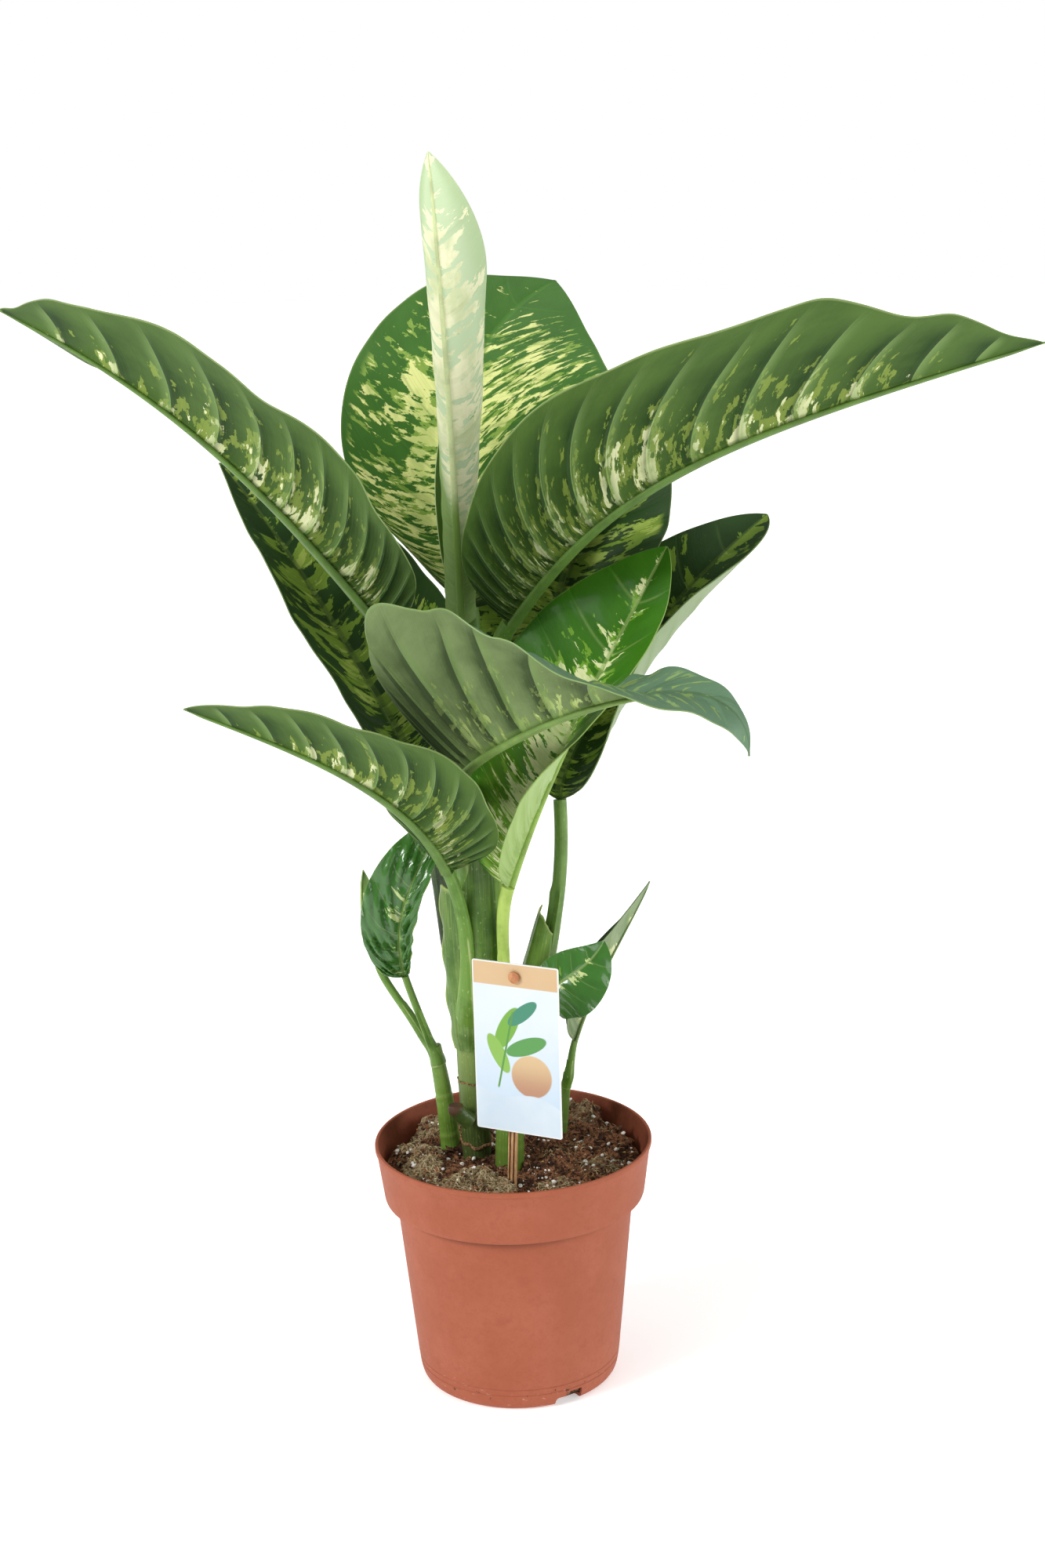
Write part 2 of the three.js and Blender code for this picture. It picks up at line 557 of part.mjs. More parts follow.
function card() {
  const [width, height, thickness] = CARD_SIZE;
  const outline = new THREE.Shape();
  outline.moveTo(-width / 2 + CARD_CORNER, -height / 2);
  outline.absarc(width / 2 - CARD_CORNER, -height / 2 + CARD_CORNER, CARD_CORNER, -Math.PI / 2, 0);
  outline.absarc(width / 2 - CARD_CORNER, height / 2 - CARD_CORNER, CARD_CORNER, 0, Math.PI / 2);
  outline.absarc(-width / 2 + CARD_CORNER, height / 2 - CARD_CORNER, CARD_CORNER, Math.PI / 2, Math.PI);
  outline.absarc(-width / 2 + CARD_CORNER, -height / 2 + CARD_CORNER, CARD_CORNER, Math.PI, 1.5 * Math.PI);
  const hole = new THREE.Path();
  hole.absarc(0, height / 2 - CARD_HOLE_DROP, CARD_HOLE_RADIUS, 0, 2 * Math.PI);
  outline.holes.push(hole);
  const options = { depth: thickness, bevelEnabled: false, curveSegments: 4 };
  return cardPlace(new THREE.ExtrudeGeometry(outline, options).rotateX(Math.PI / 2));
}

// A flat stake behind the card, turned like it, with a stud through the card's hole.
function pin() {
  const [width, thickness] = PIN_SIZE;
  const drop = CARD_SIZE[1] / 2 - CARD_HOLE_DROP;
  const back = CARD_SIZE[2] / 2 + GAP + thickness / 2;
  const yaw = THREE.MathUtils.degToRad(CARD_YAW);
  const rise = new THREE.Vector3(-Math.sin(yaw) * back, Math.cos(yaw) * back, drop + PIN_TOP);
  const top = vector(CARD_CENTRE).add(rise);
  const foot = vector(PIN_FOOT);
  const half = new THREE.Vector3(Math.cos(yaw), Math.sin(yaw), 0).multiplyScalar(width / 2);
  const deep = new THREE.Vector3(-Math.sin(yaw), Math.cos(yaw), 0).multiplyScalar(thickness / 2);
  const ring = (centre) => [
    centre.clone().sub(half).sub(deep), centre.clone().add(half).sub(deep),
    centre.clone().add(half).add(deep), centre.clone().sub(half).add(deep),
  ];
  const stake = solidOf(tubeOf([ring(foot), ring(top)]));
  const [headRadius, headThickness] = STUD_HEAD;
  const studRadius = CARD_HOLE_RADIUS - GAP;
  const stud = new THREE.CylinderGeometry(studRadius, studRadius, 2 * back, STUD_SIDES);
  const head = new THREE.CylinderGeometry(headRadius, headRadius, headThickness, STUD_SIDES);
  head.translate(0, -CARD_SIZE[2] - GAP - headThickness / 2, 0);
  const parts = [stud, head].map((part) => solidOf(cardPlace(part.translate(0, 0, drop))));
  return geometryFrom(parts.reduce((whole, part) => whole.add(part), stake));
}

// Assembly

const group = new THREE.Group();

function addPiece(name, geometry, colour) {
  const mesh = new THREE.Mesh(geometry, new THREE.MeshStandardMaterial(COLOURS[colour]));
  mesh.name = name;
  group.add(mesh);
}

function stemTube(name, extra) {
  const { path, radius } = STEMS[name];
  return tube(path, radius, STEM_SIDES, STEM_STEPS, extra);
}

// A stalk leaves its stem, bends once and meets the rib in the rib's own direction.
function stalkTube(leaf, extra) {
  const ribStart = vector(leaf.rib[0]);
  const direction = vector(leaf.rib[1]).sub(ribStart).normalize();
  const end = ribStart.clone().addScaledVector(direction, -STALK_GAP);
  const approach = end.clone().addScaledVector(direction, -leaf.approach);
  const path = [...leaf.stalk, approach.toArray(), end.toArray()];
  return tube(path, leaf.radius, STALK_SIDES, STALK_STEPS, extra);
}

const grownStems = Object.keys(STEMS).map((name) => solidOf(stemTube(name, GAP)));
const grownPin = solidOf(pin());

addPiece('pot', pot(), 'pot');
addPiece('soil', soil([...grownStems, grownPin]), 'soil');
Object.keys(STEMS).forEach((name) => addPiece(name, stemTube(name, 0), 'cane'));

const obstacles = [...grownStems];
LEAVES.forEach((leaf) => {
  addPiece(`leaf_${leaf.name}_stalk`, carve(stalkTube(leaf, 0), obstacles), 'stalk');
  addPiece(`leaf_${leaf.name}_blade`, blade(leaf), leaf.colour);
  obstacles.push(solidOf(stalkTube(leaf, GAP)));
});

addPiece('label_card', card(), 'card');
addPiece('label_pin', pin(), 'pin');

export default group;
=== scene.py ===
"""Potted dieffenbachia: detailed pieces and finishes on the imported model.

Sizes are in millimetres in the model's own frame, and become metres in the meshes.
"""

import logging
import math
from dataclasses import dataclass
from enum import Enum
from typing import Callable, Sequence, Union

import bpy
import numpy as np
from mathutils import Matrix, Vector, noise


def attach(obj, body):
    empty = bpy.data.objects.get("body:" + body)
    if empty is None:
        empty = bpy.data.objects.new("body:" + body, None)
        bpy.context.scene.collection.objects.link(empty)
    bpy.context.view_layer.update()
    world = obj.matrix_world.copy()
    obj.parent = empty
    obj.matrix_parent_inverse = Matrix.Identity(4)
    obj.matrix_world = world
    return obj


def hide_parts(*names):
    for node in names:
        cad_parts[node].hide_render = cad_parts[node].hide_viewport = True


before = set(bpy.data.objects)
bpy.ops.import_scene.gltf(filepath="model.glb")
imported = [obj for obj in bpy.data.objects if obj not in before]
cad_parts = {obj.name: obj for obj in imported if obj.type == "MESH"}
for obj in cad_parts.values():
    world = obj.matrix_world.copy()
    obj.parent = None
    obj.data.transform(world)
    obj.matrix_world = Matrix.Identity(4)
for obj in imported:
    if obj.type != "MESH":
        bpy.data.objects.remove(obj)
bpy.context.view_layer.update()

MM = 0.001
TOOL_LENGTH = 20 * MM
LOG = logging.getLogger("dieffenbachia")

Piece = bpy.types.Object
Material = bpy.types.Material
Socket = bpy.types.NodeSocket
Points = np.ndarray
Triple = tuple[float, float, float]
Halves = tuple[Triple, Triple]
Operand = Union["Value", Socket, float, tuple]


class Slot(Enum):
    """Material slots of the record."""

    POT = "pot"
    SOIL = "soil"
    CANE = "cane"
    STALK = "stalk"
    BLADE = "blade"
    BLADE_BRIGHT = "blade_bright"
    BLADE_PALE = "blade_pale"
    CARD = "card"
    PIN = "pin"


# Shader building


def srgb(red: float, green: float, blue: float) -> tuple[float, float, float, float]:
    """Returns a screen colour of 0 to 255 as a linear one."""
    parts = [c / 255 for c in (red, green, blue)]
    linear = [c / 12.92 if c <= 0.04045 else ((c + 0.055) / 1.055) ** 2.4 for c in parts]
    return (*linear, 1.0)


@dataclass(frozen=True)
class Value:
    """A number in a shader. An expression on it adds the Math nodes."""

    look: "Look"
    socket: Socket

    def __add__(self, other: Operand) -> "Value":
        """Returns the sum."""
        return self.look.maths("ADD", self, other)

    __radd__ = __add__

    def __sub__(self, other: Operand) -> "Value":
        """Returns the difference."""
        return self.look.maths("SUBTRACT", self, other)

    def __rsub__(self, other: Operand) -> "Value":
        """Returns the difference from a number."""
        return self.look.maths("SUBTRACT", other, self)

    def __mul__(self, other: Operand) -> "Value":
        """Returns the product."""
        return self.look.maths("MULTIPLY", self, other)

    __rmul__ = __mul__

    def __pow__(self, other: Operand) -> "Value":
        """Returns the power."""
        return self.look.maths("POWER", self, other)

    def __abs__(self) -> "Value":
        """Returns the size without its sign."""
        return self.look.maths("ABSOLUTE", self)

    def sine(self) -> "Value":
        """Returns the sine of an angle in radians."""
        return self.look.maths("SINE", self)

    def rest(self) -> "Value":
        """Returns what is left above the whole number below."""
        return self.look.maths("FRACT", self)

    def most(self, other: Operand) -> "Value":
        """Returns the larger of two values."""
        return self.look.maths("MAXIMUM", self, other)

    def least(self, other: Operand) -> "Value":
        """Returns the smaller of two values."""
        return self.look.maths("MINIMUM", self, other)

    def ramp(self, low: Operand, high: Operand) -> "Value":
        """Fades smoothly from 0 to 1.

        Args:
            low: The value where the fade starts.
            high: The value where it ends.

        Returns:
            The fade.
        """
        node = self.look.node(
            "ShaderNodeMapRange",
            {"interpolation_type": "SMOOTHSTEP"},
            {"Value": self, "From Min": low, "From Max": high},
        )
        return Value(self.look, node.outputs[0])


class Look:
    """A material, or the air of the studio, and the nodes in it."""

    def __init__(self, owner: str | bpy.types.World) -> None:
        """Starts with no nodes.

        Args:
            owner: The name of a new material, or the world that holds the nodes.
        """
        self.material = bpy.data.materials.new(owner) if isinstance(owner, str) else owner
        self.material.use_nodes = True
        self.material.node_tree.nodes.clear()

    def node(
        self, kind: str, settings: dict | None = None, inputs: dict | None = None
    ) -> bpy.types.Node:
        """Adds a node.

        Args:
            kind: The node's type.
            settings: The node's own settings.
            inputs: Values or links of its sockets, by name or number.

        Returns:
            The node.
        """
        tree = self.material.node_tree
        new = tree.nodes.new(kind)
        for key, setting in (settings or {}).items():
            setattr(new, key, setting)
        for key, given in (inputs or {}).items():
            if isinstance(given, Value):
                given = given.socket
            if isinstance(given, Socket):
                tree.links.new(given, new.inputs[key])
            else:
                new.inputs[key].default_value = given
        return new

    def maths(self, operation: str, *operands: Operand) -> Value:
        """Adds a Math node and returns its result."""
        node = self.node("ShaderNodeMath", {"operation": operation}, dict(enumerate(operands)))
        return Value(self, node.outputs[0])

    def mix(self, factor: Operand, first: Operand, second: Operand, blend: str = "MIX") -> Operand:
        """Mixes two colours.

        Args:
            factor: The share of the second colour.
            first: The first colour, as a socket or a screen colour.
            second: The second colour, likewise.
            blend: How the second is laid on the first.

        Returns:
            The colour.
        """
        settings = {"data_type": "RGBA", "blend_type": blend}
        first, second = (srgb(*shade) if isinstance(shade, tuple) else shade for shade in (first, second))
        return self.node("ShaderNodeMix", settings, {0: factor, 6: first, 7: second}).outputs[2]

    def layered(self, colour: Operand, *layers: tuple[Operand, Operand]) -> Operand:
        """Lays colours on a first one, each with its share.

        Args:
            colour: The first colour.
            layers: The share and the colour of each layer.

        Returns:
            The colour.
        """
        for share, laid in layers:
            colour = self.mix(share, colour, laid)
        return colour

    def vector(self, x: Operand, y: Operand, z: Operand) -> Socket:
        """Returns a vector of three numbers."""
        return self.node("ShaderNodeCombineXYZ", None, {0: x, 1: y, 2: z}).outputs[0]

    def split(self, vector: Socket) -> list[Value]:
        """Returns the three numbers of a vector."""
        node = self.node("ShaderNodeSeparateXYZ", None, {0: vector})
        return [Value(self, output) for output in node.outputs]

    def place(self) -> Socket:
        """Returns the object coordinates, in metres."""
        return self.node("ShaderNodeTexCoord").outputs["Object"]

    def attribute(self, name: str) -> list[Value]:
        """Returns the three numbers of a mesh attribute."""
        node = self.node("ShaderNodeAttribute", {"attribute_name": name})
        return self.split(node.outputs["Vector"])

    def noise(
        self, vector: Operand, scale: float, detail: float, rough: float, warp: float = 0.0
    ) -> Value:
        """Adds cloudy noise.

        Args:
            vector: Where the noise is read.
            scale: Waves per unit.
            detail: Octaves.
            rough: Share of the fine octaves.
            warp: How far the noise bends itself.

        Returns:
            The noise, about 0.5 on average.
        """
        inputs = {"Vector": vector, "Scale": scale, "Detail": detail, "Roughness": rough, "Distortion": warp}
        return Value(self, self.node("ShaderNodeTexNoise", None, inputs).outputs[0])

    def surface(
        self, colour: Operand, roughness: Operand, height: Operand, depth: float, **constants: float
    ) -> Material:
        """Ends the material with its shader.

        Args:
            colour: The base colour.
            roughness: The roughness.
            height: The height of the fine relief.
            depth: The relief's depth in metres.
            constants: Values of the shader's other sockets, with _ for a space in their names.

        Returns:
            The material.
        """
        bump = self.node("ShaderNodeBump", None, {"Height": height, "Distance": depth, "Strength": 1.0})
        inputs = {"Base Color": colour, "Roughness": roughness, "Normal": bump.outputs[0]}
        inputs.update({key.replace("_", " "): value for key, value in constants.items()})
        shader = self.node("ShaderNodeBsdfPrincipled", None, inputs)
        self.node("ShaderNodeOutputMaterial", None, {"Surface": shader.outputs[0]})
        return self.material


# Finishes


@dataclass(frozen=True)
class PotPlastic:
    """Matt moulded plastic, mottled, with scuffs and specks low down and a painted shadow line under the
    collar.
    """

    name: str
    body: Triple = (159, 85, 58)
    light: Triple = (167, 94, 68)
    dark: Triple = (150, 78, 53)
    roughness: float = 0.5
    scuff: Triple = (226, 190, 172)
    speck: Triple = (74, 44, 34)
    # shade is the colour of the painted shadow under the collar
    shade: Triple = (88, 42, 28)

    def material(self) -> Material:
        """Returns the material."""
        look = Look(self.name)
        place = look.place()
        x, y, z = look.split(place)
        clouds = look.noise(place, 24, 4, 0.6)
        grain = look.noise(place, 700, 3, 0.6) + look.noise(place, 240, 4, 0.6) * 0.8
        low = 1 - z.ramp(0.004, 0.034)
        scuffs = look.noise(look.vector(x * 160, y * 160, z * 420), 1, 5, 0.7).ramp(0.62, 0.68)
        specks = look.noise(look.vector(x * 300, y * 300, z * 300), 1, 2, 0.5).ramp(0.68, 0.72)
        specks = specks * z.ramp(0.006, 0.009) * (1 - z.ramp(0.012, 0.016))
        # painted shadow under the collar's overhang, weaker towards the right
        collar_shadow = z.ramp(0.1105, 0.1162) * (1 - z.ramp(0.1168, 0.1176)) * (1 - x.ramp(0.01, 0.07) * 0.55)
        colour = look.layered(
            self.body,
            (clouds.ramp(0.35, 0.7), self.light),
            (look.noise(place, 60, 5, 0.7).ramp(0.52, 0.75) * 0.5, self.dark),
            (grain.ramp(0.8, 1.1) * 0.3, self.dark),
            (scuffs * low * 0.35, self.scuff),
            (specks * 0.8, self.speck),
            (collar_shadow * 0.62, self.shade),
        )
        roughness = self.roughness + clouds * 0.12 + grain * 0.06
        return look.surface(colour, roughness, grain + clouds * 2, 0.00012, Specular_IOR_Level=0.28)


@dataclass(frozen=True)
class Peat:
    """Crumbly dark peat, damp in the hollows and tan where it dried."""

    name: str
    dark: Triple = (52, 30, 19)
    mid: Triple = (176, 118, 82)
    dry: Triple = (222, 182, 136)
    moss: Triple = (216, 194, 154)

    def material(self) -> Material:
        """Returns the material."""
        look = Look(self.name)
        place = look.place()
        crumbs = look.noise(place, 420, 6, 0.7)
        patches = look.noise(place, 38, 3, 0.6)
        raised = look.attribute("dry")[0]
        damp = look.noise(place, 85, 4, 0.65).ramp(0.46, 0.6) * (1 - raised.ramp(0.0, 0.5))
        tufts = look.noise(place, 520, 5, 0.75).ramp(0.4, 0.56)
        growth = (raised + patches * 0.8 - 0.4).ramp(0.25, 0.75) * tufts
        colour = look.layered(
            self.dark,
            (crumbs.ramp(0.4, 0.58), self.mid),
            (look.noise(place, 900, 3, 0.7).ramp(0.56, 0.7) * 0.75, self.dry),
            (damp * 0.85, self.dark),
            (growth * 0.9, self.moss),
        )
        height = crumbs + look.noise(place, 1500, 3, 0.6) * 0.5
        return look.surface(colour, 0.86 + crumbs * 0.12, height, 0.0035, Specular_IOR_Level=0.25)


@dataclass(frozen=True)
class Crumb:
    """A grain, bit of bark, fibre, paper or plastic in two near tones."""

    name: str
    light: Triple
    dark: Triple
    roughness: float = 0.85

    def material(self) -> Material:
        """Returns the material."""
        look = Look(self.name)
        place = look.place()
        tones = look.noise(place, 160, 3, 0.6).ramp(0.38, 0.62)
        grain = look.noise(place, 1800, 4, 0.7)
        colour = look.layered(self.dark, (tones, self.light), (grain.ramp(0.5, 0.75) * 0.5, self.dark))
        return look.surface(colour, self.roughness + grain * 0.1, grain, 0.0004, Specular_IOR_Level=0.3)


@dataclass(frozen=True)
class GreenStem:
    """Fleshy stem or stalk with fine streaks along it and a paler or browner mark."""

    name: str
    low: Triple
    middle: Triple
    high: Triple
    mark: Triple
    span: tuple[float, float]
    roughness: float = 0.3
    streaks: float = 0.22
    shade: Triple = (176, 196, 150)
    streak: Triple = (180, 204, 110)
    spot: Triple = (186, 196, 130)

    def material(self) -> Material:
        """Returns the material."""
        look = Look(self.name)
        around, along, mark = look.attribute("grain")
        start, end = (value * MM for value in self.span)
        half = (start + end) / 2
        layers = ((along.ramp(start, half), self.middle), (along.ramp(half, end), self.high))
        colour = look.layered(self.low, *layers)
        lines = look.noise(look.vector(around * 900, along * 28, 0.0), 1, 4, 0.6)
        clouds = look.noise(look.place(), 55, 4, 0.6)
        spots = look.noise(look.vector(around * 700, along * 260, 4.0), 1, 2, 0.5).ramp(0.66, 0.7)
        darker = look.mix(1.0, colour, self.shade, "MULTIPLY")
        colour = look.layered(
            colour,
            (lines.ramp(0.42, 0.62) * self.streaks, look.mix(0.35, colour, self.streak)),
            (clouds.ramp(0.45, 0.7) * 0.6, darker),
            (spots * 0.35, self.spot),
            (mark, self.mark),
        )
        roughness = self.roughness + clouds * 0.16 + mark * 0.2
        return look.surface(colour, roughness, lines + clouds, 0.0003, Specular_IOR_Level=0.36)


@dataclass(frozen=True)
class Husk:
    """Dry brown papery remains round a stem."""

    name: str
    light: Triple = (158, 122, 82)
    dark: Triple = (78, 50, 32)

    def material(self) -> Material:
        """Returns the material."""
        look = Look(self.name)
        fibres = look.noise(look.place(), 700, 5, 0.7, 0.6)
        colour = look.mix(fibres.ramp(0.4, 0.62), self.dark, self.light)
        return look.surface(colour, 0.7 + fibres * 0.2, fibres, 0.0005, Specular_IOR_Level=0.3)


@dataclass(frozen=True)
class LeafLook:
    """Colours and markings of one leaf, of which those with under are its lower face's.

    cream_share and lime_share are the heights of the noise above which the markings show at the rib, fade is
    how much they rise towards the margin and reach how much of that the lime ones do. patchy is the share of
    wide patches in them, scale their fineness and slant their lean. base is the tint of the blade's base, up
    to base_reach of its length: the blade's own green on the pale look, painted shade on the creamy look, and
    on the bright look the base's own yellow-green brightened as painted light through the blade. outer is the
    tint of the halves' outer parts. rib is the lower face's midrib. band and under_pleat_shade weigh the
    painted shade across the pleats of each face, and crest is the colour of the painted highlight on the pleat
    ridges of the lower face, which also get a painted shadow line before each step.
    """

    green: Triple = (50, 86, 32)
    deep: Triple = (34, 64, 24)
    lime: Triple = (118, 146, 58)
    cream: Triple = (222, 226, 150)
    cream_share: float = 0.5
    lime_share: float = 0.5
    fade: float = 0.3
    roughness: float = 0.36
    pleat_shade: float = 0.3
    under_green: Triple = (80, 110, 46)
    under_deep: Triple = (38, 64, 24)
    under_lime: Triple = (132, 152, 66)
    under_cream: Triple = (236, 238, 188)
    under_cream_share: float = 0.522
    under_lime_share: float = 0.475
    under_fade: float = 0.36
    under_roughness: float = 0.5
    under_pleat_shade: float = 1.0
    rib: Triple = (98, 132, 58)
    upper_rib: Triple = (126, 152, 78)
    margin: Triple = (140, 160, 100)
    coat: float = 0.0
    base: Triple = (90, 130, 50)
    base_reach: float = 0.0
    base_soft: float = 0.2
    base_tilt: float = 0.0
    base_fade: float = 0.09
    base_under: bool = True
    # colour of the painted highlight on the lower face's pleats
    pleat_highlight_tone: Triple = (128, 156, 92)
    slant: float = 0.0
    patchy: float = 0.28
    outer: Triple = (120, 150, 84)
    outer_weight: float = 0.0
    tip_fade: float = 0.09
    scale: float = 1.0
    reach: float = 0.5

    def side(self, under: bool, *names: str) -> list:
        """Returns the named values of the lower or the upper face."""
        return [getattr(self, "under_" + name if under else name) for name in names]


@dataclass(frozen=True)
class BladeFace:
    """The upper or lower face of a leaf."""

    name: str
    look: LeafLook
    seed: float
    veins: int
    length: float
    under: bool

    def markings(
        self, look: Look, near: Value, vein: Value, share: Value, where: Value
    ) -> tuple[Value, Value]:
        """Draws the streaks that follow the veins out from the rib.

        Args:
            look: The material.
            near: Distance from the rib in millimetres.
            vein: Place along the rib of the vein through a point, in millimetres.
            share: Share of the half's width.
            where: A number that sets the halves and leaves apart.

        Returns:
            The masks of the cream and of the lime markings.
        """
        chosen = self.look
        cream_share, lime_share, fade_out = chosen.side(self.under, "cream_share", "lime_share", "fade")
        near, vein = near * chosen.scale, vein * chosen.scale
        streaks = look.noise(look.vector(near * 0.08, vein * 0.3, where), 1, 5, 0.6, 0.3)
        patches = look.noise(look.vector(near * 0.02, vein * 0.035, where + 5.0), 1, 2, 0.5)
        dashes = look.noise(look.vector(near * 0.09, vein * 0.24, where + 9.0), 1, 4, 0.6, 0.3)
        vein = vein * (1 / chosen.scale)
        turn = vein * (math.tau * self.veins / self.length)
        beside = (turn + math.pi / 2).sine() * (0.045 if self.under else 0.012)
        drawn = streaks * (1 - chosen.patchy) + patches * chosen.patchy + beside
        along = vein * (1 / self.length)
        tip = along.ramp(0.75, 1.0) * chosen.tip_fade
        tip = tip + (1 - along.ramp(0.15, 0.45)) * (chosen.base_fade if self.under else 0.0)
        rise = share**1.5 * fade_out
        cream = (drawn - rise - tip).ramp(cream_share, cream_share + 0.012)
        second = drawn * 0.5 + dashes * 0.5
        lime = (second - rise * chosen.reach - tip).ramp(lime_share, lime_share + 0.01)
        clear = 1 - share.ramp(0.88, 0.96)
        return cream * clear, lime * clear

    def base_mask(self, across: Value, vein: Value, share: Value) -> Value:
        """Draws where the tint of the blade's base lies: the blade's own green on the pale look, painted shade
        on the creamy look and painted light on the bright look's own yellow-green.

        Args:
            across: Signed distance from the rib in metres.
            vein: Place along the rib of the vein through a point, in millimetres.
            share: Share of the half's width.

        Returns:
            The mask.
        """
        chosen = self.look
        turned = (across * chosen.base_tilt).most(-0.14).least(0.14)
        start = chosen.base_reach * (1 - chosen.base_soft)
        low = 1 - (vein * (1 / self.length) + turned).ramp(start, chosen.base_reach)
        return low if chosen.base_under else low * (1 - share.ramp(0.5, 0.8))

    def material(self) -> Material:
        """Returns the material."""
        chosen, under = self.look, self.under
        green, deep, lime_tone, cream_tone = chosen.side(under, "green", "deep", "lime", "cream")
        pleat_shade_weight, roughness = chosen.side(under, "pleat_shade", "roughness")
        paler = chosen.rib if under else chosen.upper_rib
        look = Look(self.name)
        across, along, share = look.attribute("vein")
        half = across.ramp(-0.0001, 0.0001) * 13.7
        near, vein = abs(across) * (1 / MM), along * (1 / MM)
        slanted = vein - across * (chosen.slant / MM)
        cream, lime = self.markings(look, near, slanted, share, half + self.seed)
        turn = vein * (math.pi * self.veins / self.length)
        groove = 1 - abs(turn.sine()).ramp(0.0, 0.16)
        step = (turn * (1 / math.pi) + 0.09).rest()
        # painted shade across each pleat; on the lower face it darkens towards each step like a shingle's
        # shadow
        pleat_shade = step**2.2 if under else ((turn * 2 + 0.6).sine() * 0.5 + 0.5) ** 2.0
        inner = 1 - share.ramp(0.6, 1.0)
        fine = look.noise(look.vector(near * 0.02, vein * 2.4, half + self.seed), 1, 3, 0.6)
        clouds = look.noise(look.vector(near * 0.05, vein * 0.05, half + self.seed + 3.0), 1, 4, 0.6)
        pores = look.noise(look.place(), 900, 3, 0.6)
        # deep green in random clouds, plus the painted shade across the pleats
        layers = [((clouds.ramp(0.35, 0.65) * 0.3 + pleat_shade * pleat_shade_weight * inner).least(1.0), deep)]
        if chosen.outer_weight:
            layers.append((share.ramp(0.35, 0.9) * chosen.outer_weight, chosen.outer))
        # base tint: the pale look's own green, painted shade on the creamy look, and painted light on the
        # bright look's own yellow-green
        if chosen.base_reach and (chosen.base_under or not under):
            low = self.base_mask(across, vein, share)
            layers.append((low * 0.92, chosen.base))
            if chosen.base_under:
                cream, lime = cream * (1 - low), lime * (1 - low)
        layers.append((lime * 0.85, lime_tone))
        tone = look.mix(clouds.ramp(0.45, 0.62) * 0.4, cream_tone, lime_tone)
        layers.append((cream * (0.86 + fine * 0.14), tone))
        layers.append((fine.ramp(0.4, 0.75) * 0.22, green))
        if under:
            # painted highlight along the top of each pleat of the lower face, just past each step
            pleat_highlight = (1 - step.ramp(0.0, 0.3)) * inner
            layers.append((pleat_highlight * chosen.under_pleat_shade * 0.6, chosen.pleat_highlight_tone))
            # painted shadow line just before each step of the pleats
            layers.append((step.ramp(0.84, 0.97) * inner * chosen.under_pleat_shade * 0.6, deep))
        else:
            layers.append((groove * (1 - share.ramp(0.55, 0.95)) * 0.34, paler))
        layers.append(((1 - share.ramp(0.0, 0.025)) * (0.4 if under else 0.6), paler))
        layers.append((share.ramp(0.986, 0.996) * 0.6, chosen.margin))
        colour = look.layered(green, *layers)
        height = fine * 0.6 + pores * 0.35 + cream * 0.12 + groove * (0.5 if under else -0.5)
        gloss = {"Specular_IOR_Level": 0.18 if under else 0.17, "Coat_Weight": 0.0 if under else chosen.coat}
        roughness = roughness + clouds * 0.14 + cream * 0.04
        return look.surface(colour, roughness, height, 0.00028, **gloss, Coat_Roughness=0.12)


@dataclass(frozen=True)
class PlainGreen:
    """The rib's flesh or the leaf's pale rim."""

    name: str
    colour: Triple
    deep: Triple
    roughness: float = 0.4
    base: Triple | None = None
    base_end: float = 0.0

    def material(self) -> Material:
        """Returns the material."""
        look = Look(self.name)
        place = look.place()
        clouds = look.noise(place, 70, 4, 0.6)
        fine = look.noise(place, 800, 4, 0.6)
        layers = [(clouds.ramp(0.4, 0.66) * 0.6, self.deep), (fine.ramp(0.5, 0.7) * 0.25, self.deep)]
        # tint towards the blade's base: the newest leaf's own green, and painted shade on the centre back leaf
        if self.base:
            along = look.attribute("vein")[1] * (1 / MM)
            layers.append((1 - along.ramp(self.base_end * 0.8, self.base_end), self.base))
        colour = look.layered(self.colour, *layers)
        return look.surface(colour, self.roughness + fine * 0.12, fine, 0.0002, Specular_IOR_Level=0.3)


